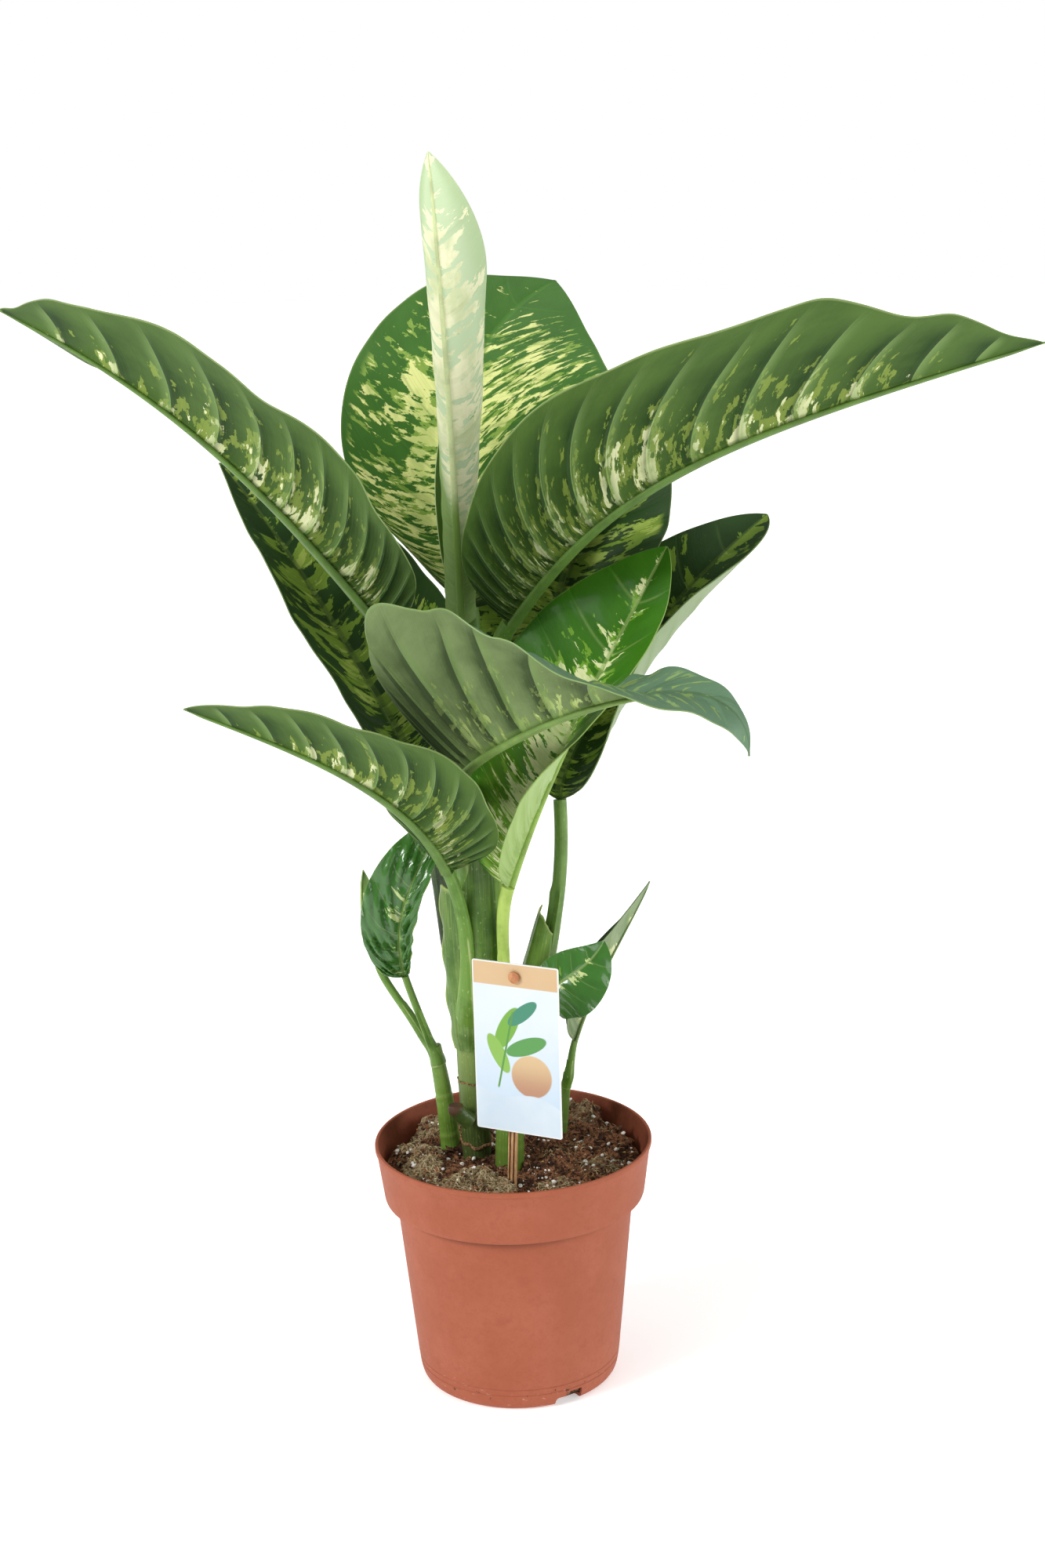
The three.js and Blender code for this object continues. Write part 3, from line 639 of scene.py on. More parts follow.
@dataclass(frozen=True)
class PrintedCard:
    """Glossy card with a plain field, a hill, a leaf sprig, a warm disc and a tan strip at the top."""

    name: str
    centre: Triple
    yaw: float
    size: tuple[float, float]
    strip: float = 14.5
    border: float = 0.8
    sprig: Sequence[tuple[tuple[float, float, float, float], float, Triple]] = (
        ((-6, 12, 15, 5.5), 62, (112, 164, 60)),
        ((6, 2, 14, 5), 22, (84, 146, 74)),
        ((-12, -4, 13, 4.6), 118, (132, 176, 78)),
        ((4, 22, 12, 4.2), 40, (62, 132, 104)),
    )

    def oval(self, x: Value, z: Value, middle: Sequence[float], turn: float) -> Value:
        """Draws a soft-edged oval.

        Args:
            x: Millimetres across.
            z: Millimetres up.
            middle: The oval's centre and half its length and width.
            turn: Its turn in degrees.

        Returns:
            The oval's mask.
        """
        cos, sin = math.cos(math.radians(turn)), math.sin(math.radians(turn))
        left, up, long, wide = middle
        along = (x - left) * (cos / long) + (z - up) * (sin / long)
        side = (x - left) * (-sin / wide) + (z - up) * (cos / wide)
        return 1 - (along * along + side * side).ramp(0.9, 1.06)

    def material(self) -> Material:
        """Returns the material."""
        look = Look(self.name)
        inputs = {
            "Vector": look.place(),
            "Location": [value * MM for value in self.centre],
            "Rotation": (0.0, 0.0, math.radians(self.yaw)),
        }
        local = look.node("ShaderNodeMapping", {"vector_type": "TEXTURE"}, inputs).outputs[0]
        x, _, z = (part * (1 / MM) for part in look.split(local))
        soft = look.noise(local, 40, 3, 0.5)
        grain = look.noise(local, 1400, 3, 0.6)
        hill = 1 - (z - (x * 0.12).sine() * 3 + x * 0.18).ramp(-29.5, -28.5)
        stem = 1 - abs(x + 7 - z * 0.22).ramp(0.4, 0.9)
        right, top = (side / 2 for side in self.size)
        ends = ((abs(side), reach - self.border) for side, reach in ((x, right), (z, top)))
        beside, above = (side.ramp(inner, inner + 0.2) for side, inner in ends)
        colour = look.layered(
            (186, 204, 220),
            (z.ramp(-46, 30), (214, 222, 230)),
            (soft.ramp(0.4, 0.7) * 0.3, (200, 214, 224)),
            (
                self.oval(x, z, (9, -16, 13, 13), 0) * 0.9,
                look.mix(z.ramp(-28, -4), (172, 116, 72), (206, 172, 118)),
            ),
            (hill, look.mix(soft, (214, 222, 228), (176, 196, 212))),
            *((self.oval(x, z, middle, turn), shade) for middle, turn, shade in self.sprig),
            (stem * z.ramp(-26, -24) * (1 - z.ramp(20, 24)), (84, 140, 60)),
            (
                z.ramp(top - self.strip, top - self.strip + 0.5),
                look.mix(soft, (200, 166, 124), (210, 180, 140)),
            ),
            (beside.most(above), (222, 224, 224)),
        )
        return look.surface(colour, 0.3 + grain * 0.1, grain, 0.00004, Specular_IOR_Level=0.45)


@dataclass(frozen=True)
class WoodStick:
    """Tan stick with fibres along it."""

    name: str
    light: Triple = (216, 172, 124)
    dark: Triple = (172, 126, 84)

    def material(self) -> Material:
        """Returns the material."""
        look = Look(self.name)
        x, y, z = look.split(look.place())
        fibres = look.noise(look.vector(x * 1400, y * 1400, z * 45), 1, 4, 0.65)
        colour = look.mix(fibres.ramp(0.36, 0.66), self.dark, self.light)
        return look.surface(colour, 0.58 + fibres * 0.15, fibres, 0.0002, Specular_IOR_Level=0.35)


@dataclass(frozen=True)
class StudioPaper:
    """Plain pale paper of the studio floor, which glows as painted light that weakens the shadows on it and
    lights the plant from below.
    """

    name: str = "studio_paper"
    tone: Triple = (244, 244, 243)
    pale: Triple = (250, 250, 249)
    painted_floor_glow: float = 0.42

    def material(self) -> Material:
        """Returns the material."""
        look = Look(self.name)
        clouds = look.noise(look.place(), 2.5, 2, 0.5)
        colour = look.mix(clouds * 0.2, self.tone, self.pale)
        # painted light: the paper glows though it is no lamp
        light = {"Emission_Color": srgb(255, 255, 255), "Emission_Strength": self.painted_floor_glow}
        return look.surface(colour, 0.85, clouds, 0.0001, Specular_IOR_Level=0.1, **light)


# Modelling


def activate(piece: Piece) -> None:
    """Selects one piece alone and makes it active."""
    bpy.ops.object.select_all(action="DESELECT")
    piece.select_set(True)
    bpy.context.view_layer.objects.active = piece


def edit_mode() -> None:
    """Opens the active piece for editing."""
    bpy.ops.object.mode_set(mode="EDIT")


def object_mode() -> None:
    """Closes the piece that is edited."""
    bpy.ops.object.mode_set(mode="OBJECT")


def started(name: str) -> Piece:
    """Names the active piece and returns it."""
    piece = bpy.context.object
    piece.name = piece.data.name = name
    return piece


def added(name: str, primitive: Callable[..., set], **settings: object) -> Piece:
    """Adds a primitive, with nothing else selected, and applies its place.

    Args:
        name: The piece's name.
        primitive: The operator that adds it.
        settings: The operator's settings.

    Returns:
        The piece.
    """
    bpy.ops.object.select_all(action="DESELECT")
    primitive(**settings)
    bpy.ops.object.transform_apply(location=True, rotation=True, scale=True)
    return started(name)


def pick(piece: Piece, kind: str, test: Callable[[bpy.types.bpy_struct], bool]) -> None:
    """Opens the active piece for editing, with the edges or faces selected that pass a test.

    Args:
        piece: The piece.
        kind: EDGE or FACE.
        test: Tells which ones are wanted.
    """
    edit_mode()
    bpy.ops.mesh.select_mode(type=kind)
    bpy.ops.mesh.select_all(action="DESELECT")
    object_mode()
    for part in piece.data.edges if kind == "EDGE" else piece.data.polygons:
        part.select = test(part)
    edit_mode()


def draw_up(rings: Sequence[tuple[float, float]], radius: float, level: float) -> None:
    """Extrudes the selected ring through others, closes the last one and ends the editing.

    Args:
        rings: The radius and height of each.
        radius: The selected ring's radius.
        level: The selected ring's height.
    """
    for wide, high in rings:
        bpy.ops.mesh.extrude_edges_move(TRANSFORM_OT_translate={"value": (0, 0, (high - level) * MM)})
        scale = wide / radius
        bpy.ops.transform.resize(value=(scale, scale, 1), center_override=(0, 0, high * MM))
        radius, level = wide, high
    bpy.ops.mesh.edge_face_add()
    bpy.ops.mesh.select_all(action="SELECT")
    bpy.ops.mesh.normals_make_consistent(inside=False)
    object_mode()


def modify(piece: Piece, kind: str, **settings: object) -> None:
    """Adds a modifier and applies it.

    Args:
        piece: The piece.
        kind: The modifier's type.
        settings: The modifier's settings.
    """
    activate(piece)
    modifier = piece.modifiers.new(kind.lower(), kind)
    for key, setting in settings.items():
        setattr(modifier, key, setting)
    bpy.ops.object.modifier_apply(modifier=modifier.name)


def cut(piece: Piece, tool: Piece) -> None:
    """Takes a tool's shape out of a piece and removes the tool."""
    modify(piece, "BOOLEAN", operation="DIFFERENCE", solver="EXACT", object=tool)
    bpy.data.objects.remove(tool)


def joined(name: str, pieces: Sequence[Piece]) -> Piece:
    """Joins pieces into one.

    Args:
        name: The joined piece's name.
        pieces: The pieces, of which the first stays.

    Returns:
        The joined piece.
    """
    activate(pieces[0])
    for piece in pieces[1:]:
        piece.select_set(True)
    bpy.ops.object.join()
    return started(name)


def dress(piece: Piece, *materials: Material) -> None:
    """Gives a piece its materials in order."""
    piece.data.materials.clear()
    for material in materials:
        piece.data.materials.append(material)


def corners(piece: Piece) -> Points:
    """Returns a piece's vertices as they are in its mesh."""
    flat = np.empty(len(piece.data.vertices) * 3)
    piece.data.vertices.foreach_get("co", flat)
    return flat.reshape(-1, 3)


def reshape(piece: Piece, points: Points) -> None:
    """Moves a piece's vertices to points in millimetres."""
    piece.data.vertices.foreach_set("co", (points * MM).ravel())
    piece.data.update()


def mark_points(piece: Piece, name: str, *values: Points) -> None:
    """Keeps three numbers for each vertex.

    Args:
        piece: The piece.
        name: The attribute's name.
        values: The first, second and third number of all the vertices.
    """
    attribute = piece.data.attributes.new(name, "FLOAT_VECTOR", "POINT")
    attribute.data.foreach_set("vector", np.stack(values, -1).ravel())


def three_way(values: Sequence[float], share: Points) -> Points:
    """Returns the values at shares of a start, a middle and an end value."""
    return np.interp(share, (0.0, 0.5, 1.0), values)


def fade(values: Points, low: float, high: float) -> Points:
    """Fades smoothly from 0 at low to 1 at high."""
    share = np.clip((values - low) / (high - low), 0, 1)
    return share * share * (3 - 2 * share)


def bell(off: Points, width: float) -> Points:
    """Returns a smooth bump of height one round 0."""
    return np.exp(-((off / width) ** 2))


def unit(vectors: Points) -> Points:
    """Returns vectors of length one."""
    return vectors / np.maximum(np.linalg.norm(vectors, axis=-1, keepdims=True), 1e-9)


def ringed(centre: Points, side: Points, back: Points, wide: Points, angle: Points) -> Points:
    """Returns points round a centre, at a distance and an angle between two directions."""
    return centre + side * (wide * np.cos(angle))[:, None] + back * (wide * np.sin(angle))[:, None]


class Curve:
    """A cubic Bezier curve that is read by the share of its length."""

    SAMPLES = 401

    def __init__(self, controls: Sequence[Sequence[float]]) -> None:
        """Measures the curve.

        Args:
            controls: Its four control points.
        """
        a, b, c, d = (np.array(point, float) for point in controls)
        t = np.linspace(0, 1, self.SAMPLES)[:, None]
        self.points = a * (1 - t) ** 3 + 3 * b * t * (1 - t) ** 2 + 3 * c * t**2 * (1 - t) + d * t**3
        slopes = (b - a) * (1 - t) ** 2 + 2 * (c - b) * t * (1 - t) + (d - c) * t**2
        self.directions = unit(slopes)
        steps = np.linalg.norm(np.diff(self.points, axis=0), axis=1)
        self.marks = np.concatenate([[0], np.cumsum(steps)])
        self.length = float(self.marks[-1])

    def at(self, share: Points) -> tuple[Points, Points]:
        """Reads the curve.

        Args:
            share: Shares of its length.

        Returns:
            The points and the directions there.
        """
        read = [
            np.stack([np.interp(share * self.length, self.marks, table[:, k]) for k in range(3)], -1)
            for table in (self.points, self.directions)
        ]
        return read[0], unit(read[1])


def tube(name: str, sides: int, steps: int, shape: Callable[[Points, Points], Points]) -> Piece:
    """Makes a closed tube.

    Args:
        name: The piece's name.
        sides: Sides round it.
        steps: Steps along it.
        shape: Gives the points in millimetres for angles round it and shares along it.

    Returns:
        The tube.
    """
    cylinder = bpy.ops.mesh.primitive_cylinder_add
    piece = added(name, cylinder, vertices=sides, radius=1, depth=2, end_fill_type="TRIFAN")
    level = corners(piece)[:, 2]
    pick(piece, "EDGE", lambda edge: abs(np.subtract(*level[list(edge.vertices)])) > 1)
    bpy.ops.mesh.subdivide(number_cuts=steps - 1)
    object_mode()
    place = corners(piece)
    reach = np.hypot(place[:, 0], place[:, 1])
    angle = np.arctan2(place[:, 1], place[:, 0])
    share = (place[:, 2] + 1) / 2
    edge_points = shape(angle, share)
    middle_points = (shape(angle, share) + shape(angle + math.pi, share)) / 2
    reshape(piece, np.where((reach > 0.5)[:, None], edge_points, middle_points))
    return piece


def scattered(name: str, template: Piece, places: Sequence[Matrix]) -> Piece:
    """Copies a small shape many times into one piece, and removes the first one.

    Args:
        name: The piece's name.
        template: The shape, in metres round its own middle.
        places: Where each copy goes.

    Returns:
        The piece.
    """
    shape = corners(template)
    faces = [tuple(face.vertices) for face in template.data.polygons]
    points, copies = [], []
    for number, place in enumerate(places):
        turn = np.array(place.to_3x3())
        points.append(shape @ turn.T + np.array(place.translation))
        copies.extend(tuple(k + number * len(shape) for k in face) for face in faces)
    mesh = bpy.data.meshes.new(name)
    mesh.from_pydata(np.concatenate(points).tolist(), [], copies)
    piece = bpy.data.objects.new(name, mesh)
    bpy.context.collection.objects.link(piece)
    bpy.data.objects.remove(template)
    return piece


def finished(piece: Piece, slot: Slot, *nodes: str, smooth: float = 0) -> Piece:
    """Hands a piece over to the frame and reports it.

    Args:
        piece: The piece.
        slot: The record's slot for the piece's finish; not used.
        nodes: The model's nodes that it stands for.
        smooth: The angle in degrees up to which its edges are shaded smooth, or 0 for none.

    Returns:
        The piece.
    """
    if smooth:
        activate(piece)
        bpy.ops.object.shade_smooth_by_angle(angle=math.radians(smooth))
    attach(piece, "root")
    if nodes:
        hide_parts(*nodes)
    LOG.info("%s: %d faces", piece.name, len(piece.data.polygons))
    return piece


# Pot


@dataclass
class Pot:
    """Nursery pot with a collar, a lip, a scalloped foot and drain holes."""

    sides: int = 128
    outline: Sequence[tuple[float, float]] = (
        (56.5, 0.0), (58.6, 0.25), (60.1, 1.2), (61.0, 2.6), (61.6, 4.4), (62.2, 7.6), (62.5, 9.6),
        (62.15, 10.1), (62.6, 10.6), (62.95, 13.6), (62.65, 14.1), (63.1, 14.6), (66.5, 49.0),
        (70.1, 86.0), (72.7, 112.6), (73.0, 114.8), (73.6, 115.8), (74.8, 116.4), (77.2, 116.7),
        (78.8, 117.1), (79.8, 117.7), (80.2, 118.8), (80.5, 121.0), (82.3, 134.5), (84.1, 148.2),
        (84.5, 148.8), (84.95, 149.0), (85.0, 149.4), (85.0, 151.2), (84.8, 151.7), (84.3, 152.0),
        (83.6, 152.0), (83.2, 151.8), (83.0, 151.3), (82.4, 148.4), (80.6, 134.8), (78.6, 118.9),
        (77.6, 118.3), (72.6, 118.0), (71.4, 117.4), (71.2, 116.2), (66.6, 70.0), (60.6, 9.0),
        (59.9, 5.2), (59.3, 3.2), (57.9, 2.3),
    )
    notch_angles: tuple[float, float] = (-61.0, 119.0)
    notch_size: Triple = (16.0, 18.0, 5.5)
    notch_radius: float = 60.0
    drains: int = 6
    drain_radius: float = 4.0
    drain_circle: float = 36.0
    inner_levels: tuple[float, float] = (5.0, 150.0)

    def shell(self) -> Piece:
        """Draws the wall up from the foot and down inside.

        Returns:
            The pot without its openings.
        """
        circle = bpy.ops.mesh.primitive_circle_add
        foot, *rings = self.outline
        piece = added("pot_shell", circle, vertices=self.sides, radius=foot[0] * MM, fill_type="NGON")
        edit_mode()
        bpy.ops.mesh.flip_normals()
        pick(piece, "EDGE", lambda edge: True)
        draw_up(rings, *foot)
        return piece

    def openings(self, piece: Piece) -> None:
        """Cuts the scallops in the foot and the drain holes in the floor."""
        deep, wide, high = (value * MM for value in self.notch_size)
        for degrees in self.notch_angles:
            for step, share, rise, soft in ((0.0, 1.0, 1.0, 2.4), (3.0, 0.62, 1.5, 0.8)):
                turn = math.radians(degrees + step)
                place = Vector((math.cos(turn), math.sin(turn), 0)) * self.notch_radius * MM
                size = (deep, wide * share, 2 * high * rise)
                cube = bpy.ops.mesh.primitive_cube_add
                tool = added("notch_tool", cube, size=1, location=place, rotation=(0, 0, turn), scale=size)
                modify(tool, "BEVEL", width=soft * MM, segments=4, affect="EDGES")
                cut(piece, tool)
        for number in range(self.drains):
            turn = math.tau * (number + 0.25) / self.drains
            place = Vector((math.cos(turn), math.sin(turn), 0)) * self.drain_circle * MM
            size = {"radius": self.drain_radius * MM, "depth": TOOL_LENGTH}
            cylinder = bpy.ops.mesh.primitive_cylinder_add
            cut(piece, added("drain_tool", cylinder, vertices=24, location=place, **size))

    def build(self) -> Piece:
        """Builds and dresses the pot."""
        piece = self.shell()
        self.openings(piece)
        # painted shade: the inside of the wall gets a darker copy of the plastic
        inside = PotPlastic("pot_inside", (134, 70, 48), (146, 80, 56), (112, 56, 38), 0.55)
        dress(piece, PotPlastic("pot_plastic").material(), inside.material())
        low, high = (value * MM for value in self.inner_levels)
        for face in piece.data.polygons:
            inward = face.normal.xy.dot(face.center.xy) < 0
            face.material_index = int(inward and low < face.center.z < high)
        return finished(piece, Slot.POT, "pot", smooth=35)


# Soil


@dataclass
class Soil:
    """Mounded peat with crumbs, mossy clumps, perlite, grains and fibres."""

    edge: float = 134.5
    crown: float = 3.0
    rim: float = 85.0
    reach: float = 78.2
    clods: Sequence[tuple[float, float, float, float]] = (
        (1.6, 0.11, 0.125, 1.3),
        (1.1, 0.22, -0.19, 0.4),
        (0.6, 0.27, 0.35, 1.9),
    )
    below: Sequence[tuple[float, float]] = (
        (76.6, 119.0), (70.9, 117.0), (66.2, 70.0), (60.2, 9.2), (58.6, 5.0), (57.0, 2.6),
    )
    cells: int = 190
    clumps: Sequence[tuple[float, float, float, float, float]] = (
        (-50, 44, 20, 9.0, 1.0), (-58, 10, 17, 5.5, 0.7), (-56, -14, 15, 5.0, 1.0), (-24, -36, 17, 5.6, 1.0),
        (-42, -40, 13, 4.6, 0.5), (-8, -52, 12, 4.2, 0.8), (32, 2, 17, 5.0, 0.2), (40, 54, 25, 12.5, 0.6),
        (12, 62, 20, 10.0, 0.3), (62, 22, 18, 9.0, 0.1), (54, -18, 16, 5.0, 0.5), (26, -48, 15, 4.0, 0.6),
        (-20, 60, 18, 8.0, 0.4),
    )
    seed: int = 7

    ROUGH_SCALE, ROUGH_HEIGHT = 0.12, 2.2
    CRUMB_SCALE, CRUMB_HEIGHT = 0.45, 2.6

    def height(self, x: float, y: float) -> float:
        """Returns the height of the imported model's surface."""
        level = self.edge + self.crown * (1 - (x * x + y * y) / self.rim**2)
        for size, along_x, along_y, phase in self.clods:
            level += size * math.sin(along_x * x + along_y * y + phase)
        return level

    def relief(self, x: float, y: float) -> float:
        """Returns how far crumbs and clumps stand off that surface.

        Args:
            x: Place across, in millimetres.
            y: Place back, in millimetres.

        Returns:
            The relief in millimetres.
        """
        rough = self.roughness(x, y, 6)
        crumbs = abs(noise.noise(Vector((x, y, 8.0)) * self.CRUMB_SCALE))
        relief = self.ROUGH_HEIGHT * rough + self.CRUMB_HEIGHT * (crumbs - 0.2)
        for clump in self.clumps:
            relief += clump[3] * self.on_clump(x, y, clump) * (1 + 0.3 * rough)
        return relief

    def roughness(self, x: float, y: float, octaves: int) -> float:
        """Returns the noise of the lumps at a place."""
        return noise.fractal(Vector((x, y, 3.0)) * self.ROUGH_SCALE, 0.7, 2.1, octaves)

    def on_clump(self, x: float, y: float, clump: Sequence[float]) -> float:
        """Tells how far a place is on a clump, from 0 to 1."""
        rough = self.roughness(x, y, 4)
        off = math.hypot(x - clump[0], (y - clump[1]) * 1.15) / clump[2] * (1 + 0.35 * rough)
        return math.exp(-((off / 0.85) ** 4))

    def dryness(self, x: float, y: float) -> float:
        """Tells how dry and mossy a place is, from 0 to 1."""
        return min(1.0, sum(clump[4] * self.on_clump(x, y, clump) for clump in self.clumps))

    def ground(self) -> Piece:
        """Models the surface and the body below it.

        Returns:
            The soil's body.
        """
        grid = bpy.ops.mesh.primitive_grid_add
        piece = added("soil_body", grid, x_subdivisions=self.cells, y_subdivisions=self.cells, size=2)
        flat = corners(piece)
        x = flat[:, 0] * np.sqrt(1 - flat[:, 1] ** 2 / 2)
        y = flat[:, 1] * np.sqrt(1 - flat[:, 0] ** 2 / 2)
        reach = np.hypot(x, y)
        x, y = x * self.reach, y * self.reach
        bare = np.array([self.height(*place) for place in zip(x, y)])
        relief = np.array([self.relief(*place) for place in zip(x, y)])
        close = 1 - fade(reach, 0.93, 1.0)
        reshape(piece, np.stack([x, y, bare + relief * close], -1))
        dry = np.array([self.dryness(*place) for place in zip(x, y)])
        mark_points(piece, "dry", dry, dry, dry)
        edit_mode()
        bpy.ops.mesh.select_mode(type="EDGE")
        bpy.ops.mesh.select_all(action="DESELECT")
        bpy.ops.mesh.select_non_manifold()
        bpy.ops.mesh.extrude_edges_move()
        (wide, high), *rings = self.below
        scale = wide / self.reach
        bpy.ops.transform.resize(value=(scale, scale, 1), center_override=(0, 0, 0))
        bpy.ops.transform.resize(value=(1, 1, 0), center_override=(0, 0, high * MM))
        draw_up(rings, wide, high)
        return piece

    def lump(self, name: str, size: Triple, rough: float) -> Piece:
        """Models one uneven grain.

        Args:
            name: The piece's name.
            size: Half its length, width and height in millimetres.
            rough: How uneven it is.

        Returns:
            The grain.
        """
        piece = added(name, bpy.ops.mesh.primitive_uv_sphere_add, segments=7, ring_count=5, radius=1)
        ball = corners(piece)
        places = [Vector(point) * 1.7 + Vector((4, 1, 2)) for point in ball]
        uneven = np.array([1 + rough * noise.noise(place) for place in places])
        reshape(piece, ball * uneven[:, None] * np.array(size))
        return piece

    def strand(self, name: str, length: float, radius: float, bend: float) -> Piece:
        """Models one thin bent fibre.

        Args:
            name: The piece's name.
            length: Its length in millimetres.
            radius: Its radius.
            bend: How far its middle rises.

        Returns:
            The fibre.
        """

        def shape(angle: Points, share: Points) -> Points:
            """Gives the fibre's points."""
            wide = radius * (0.35 + 0.65 * np.sin(math.pi * np.clip(share, 0.08, 0.92)))
            along = (share - 0.5) * length
            rise = bend * np.sin(math.pi * share) + 0.3 * bend * np.sin(5 * share)
            return np.stack([along, wide * np.cos(angle), rise + wide * np.sin(angle)], -1)

        return tube(name, 4, 4, shape)

    def spots(
        self, draw: np.random.Generator, count: int, lift: float, sizes: tuple[float, float], flat: float
    ) -> list[Matrix]:
        """Draws places on the surface.

        Args:
            draw: The source of chance.
            count: How many.
            lift: Height of a copy's middle above the surface, for a copy of size 1.
            sizes: The least and the most size.
            flat: The most tilt in radians.

        Returns:
            The places.
        """
        places = []
        for _ in range(count):
            radius = (self.reach - 3.5) * math.sqrt(draw.random())
            turn = draw.random() * math.tau
            x, y = radius * math.cos(turn), radius * math.sin(turn)
            size = sizes[0] + (sizes[1] - sizes[0]) * draw.random() ** 2
            spin = Matrix.Rotation(draw.random() * math.tau, 4, "Z")
            tilts = [Matrix.Rotation((draw.random() - 0.5) * 2 * flat, 4, axis) for axis in "XY"]
            tilt = tilts[0] @ tilts[1]
            places.append(self.placed(x, y, lift * size) @ spin @ tilt @ Matrix.Scale(size, 4))
        return places

    def placed(self, x: float, y: float, above: float) -> Matrix:
        """Returns the move to a place that is so many millimetres above the surface."""
        level = self.height(x, y) + self.relief(x, y) + above
        return Matrix.Translation(Vector((x, y, level)) * MM)

    def clump_spots(self, draw: np.random.Generator, count: int) -> list[Matrix]:
        """Draws places for short fibres on the mossy clumps.

        Args:
            draw: The source of chance.
            count: How many.

        Returns:
            The places.
        """
        places = []
        while len(places) < count:
            left, back, wide, _, dry = self.clumps[int(draw.integers(len(self.clumps)))]
            if draw.random() > dry:
                continue
            x = left + wide * 0.8 * (draw.random() * 2 - 1)
            y = back + wide * 0.7 * (draw.random() * 2 - 1)
            if math.hypot(x, y) > self.reach - 4:
                continue
            size = 0.6 + 0.8 * draw.random()
            spin = Matrix.Rotation(draw.random() * math.tau, 4, "Z")
            tilt = Matrix.Rotation((draw.random() - 0.5) * 1.6, 4, "Y")
            places.append(self.placed(x, y, 0.1) @ (spin @ tilt) @ Matrix.Scale(size, 4))
        return places

    def build(self) -> None:
        """Builds and dresses the soil and what lies on it."""
        draw = np.random.default_rng(self.seed)
        ground = self.ground()
        dress(ground, Peat("peat").material())
        finished(ground, Slot.SOIL, "soil", smooth=60)
        bark = Crumb("bark_crumb", (142, 98, 66), (62, 38, 26))
        crumbs = []
        for name, size, rough, count, most, flat in (
            ("crumb", (1.5, 1.2, 1.0), 0.7, 520, 1.5, 0.8),
            ("chip", (2.8, 1.0, 0.7), 0.6, 240, 1.3, 0.5),
        ):
            grain = self.lump(name, size, rough)
            crumbs.append(scattered(name, grain, self.spots(draw, count, 0.3, (0.5, most), flat)))
        for piece in crumbs:
            dress(piece, bark.material())
        finished(joined("soil_crumbs", crumbs), Slot.SOIL, smooth=50)
        perlite = Crumb("perlite", (250, 248, 242), (220, 214, 204), 0.7)
        yellow = Crumb("yellow_grain", (206, 170, 104), (160, 118, 66), 0.6)
        peat_fibre = Crumb("peat_fibre", (176, 132, 90), (88, 56, 37))
        dry_moss = Crumb("dry_moss", (206, 190, 150), (140, 124, 86))
        for name, bit, shape, places, finish in (
            ("soil_perlite", self.lump, ((1.0, 0.85, 0.75), 0.4), (320, 0.6, (0.35, 1.8), 0.6), perlite),
            ("soil_grains", self.lump, ((1.1, 0.9, 0.8), 0.5), (46, 0.5, (0.6, 1.3), 0.6), yellow),
            ("soil_fibres", self.strand, (7.0, 0.22, 0.9), (420, 0.2, (0.4, 1.5), 0.45), peat_fibre),
            ("soil_moss", self.strand, (3.4, 0.24, 0.8), (2200,), dry_moss),
        ):
            template = bit("bit", *shape)
            spots = self.spots if len(places) > 1 else self.clump_spots
            piece = scattered(name, template, spots(draw, *places))
            dress(piece, finish.material())
            finished(piece, Slot.SOIL, smooth=60)


# Stems: the control points of each one's path, and its radius at the start, middle and end

STEM_SHAPES = {
    "stem_main": (((-21, 12, 92), (-25, 9, 200), (-27, 2, 300), (-20, 1, 436)), (9.2, 8.4, 6.5)),
    "stem_second": (((-3, -7, 92), (-4, -8, 150), (1, -6, 200), (7, -3, 262)), (9.6, 8.4, 6)),
    "stem_left": (((-38, 28, 92), (-39, 26, 150), (-43, 24, 180), (-47, 23, 204)), (7.6, 6.0, 4.2)),
    "stem_right": (((26, 42, 92), (29, 36, 130), (32, 30, 160), (35, 28, 182)), (4.2, 3.6, 2.6)),
}


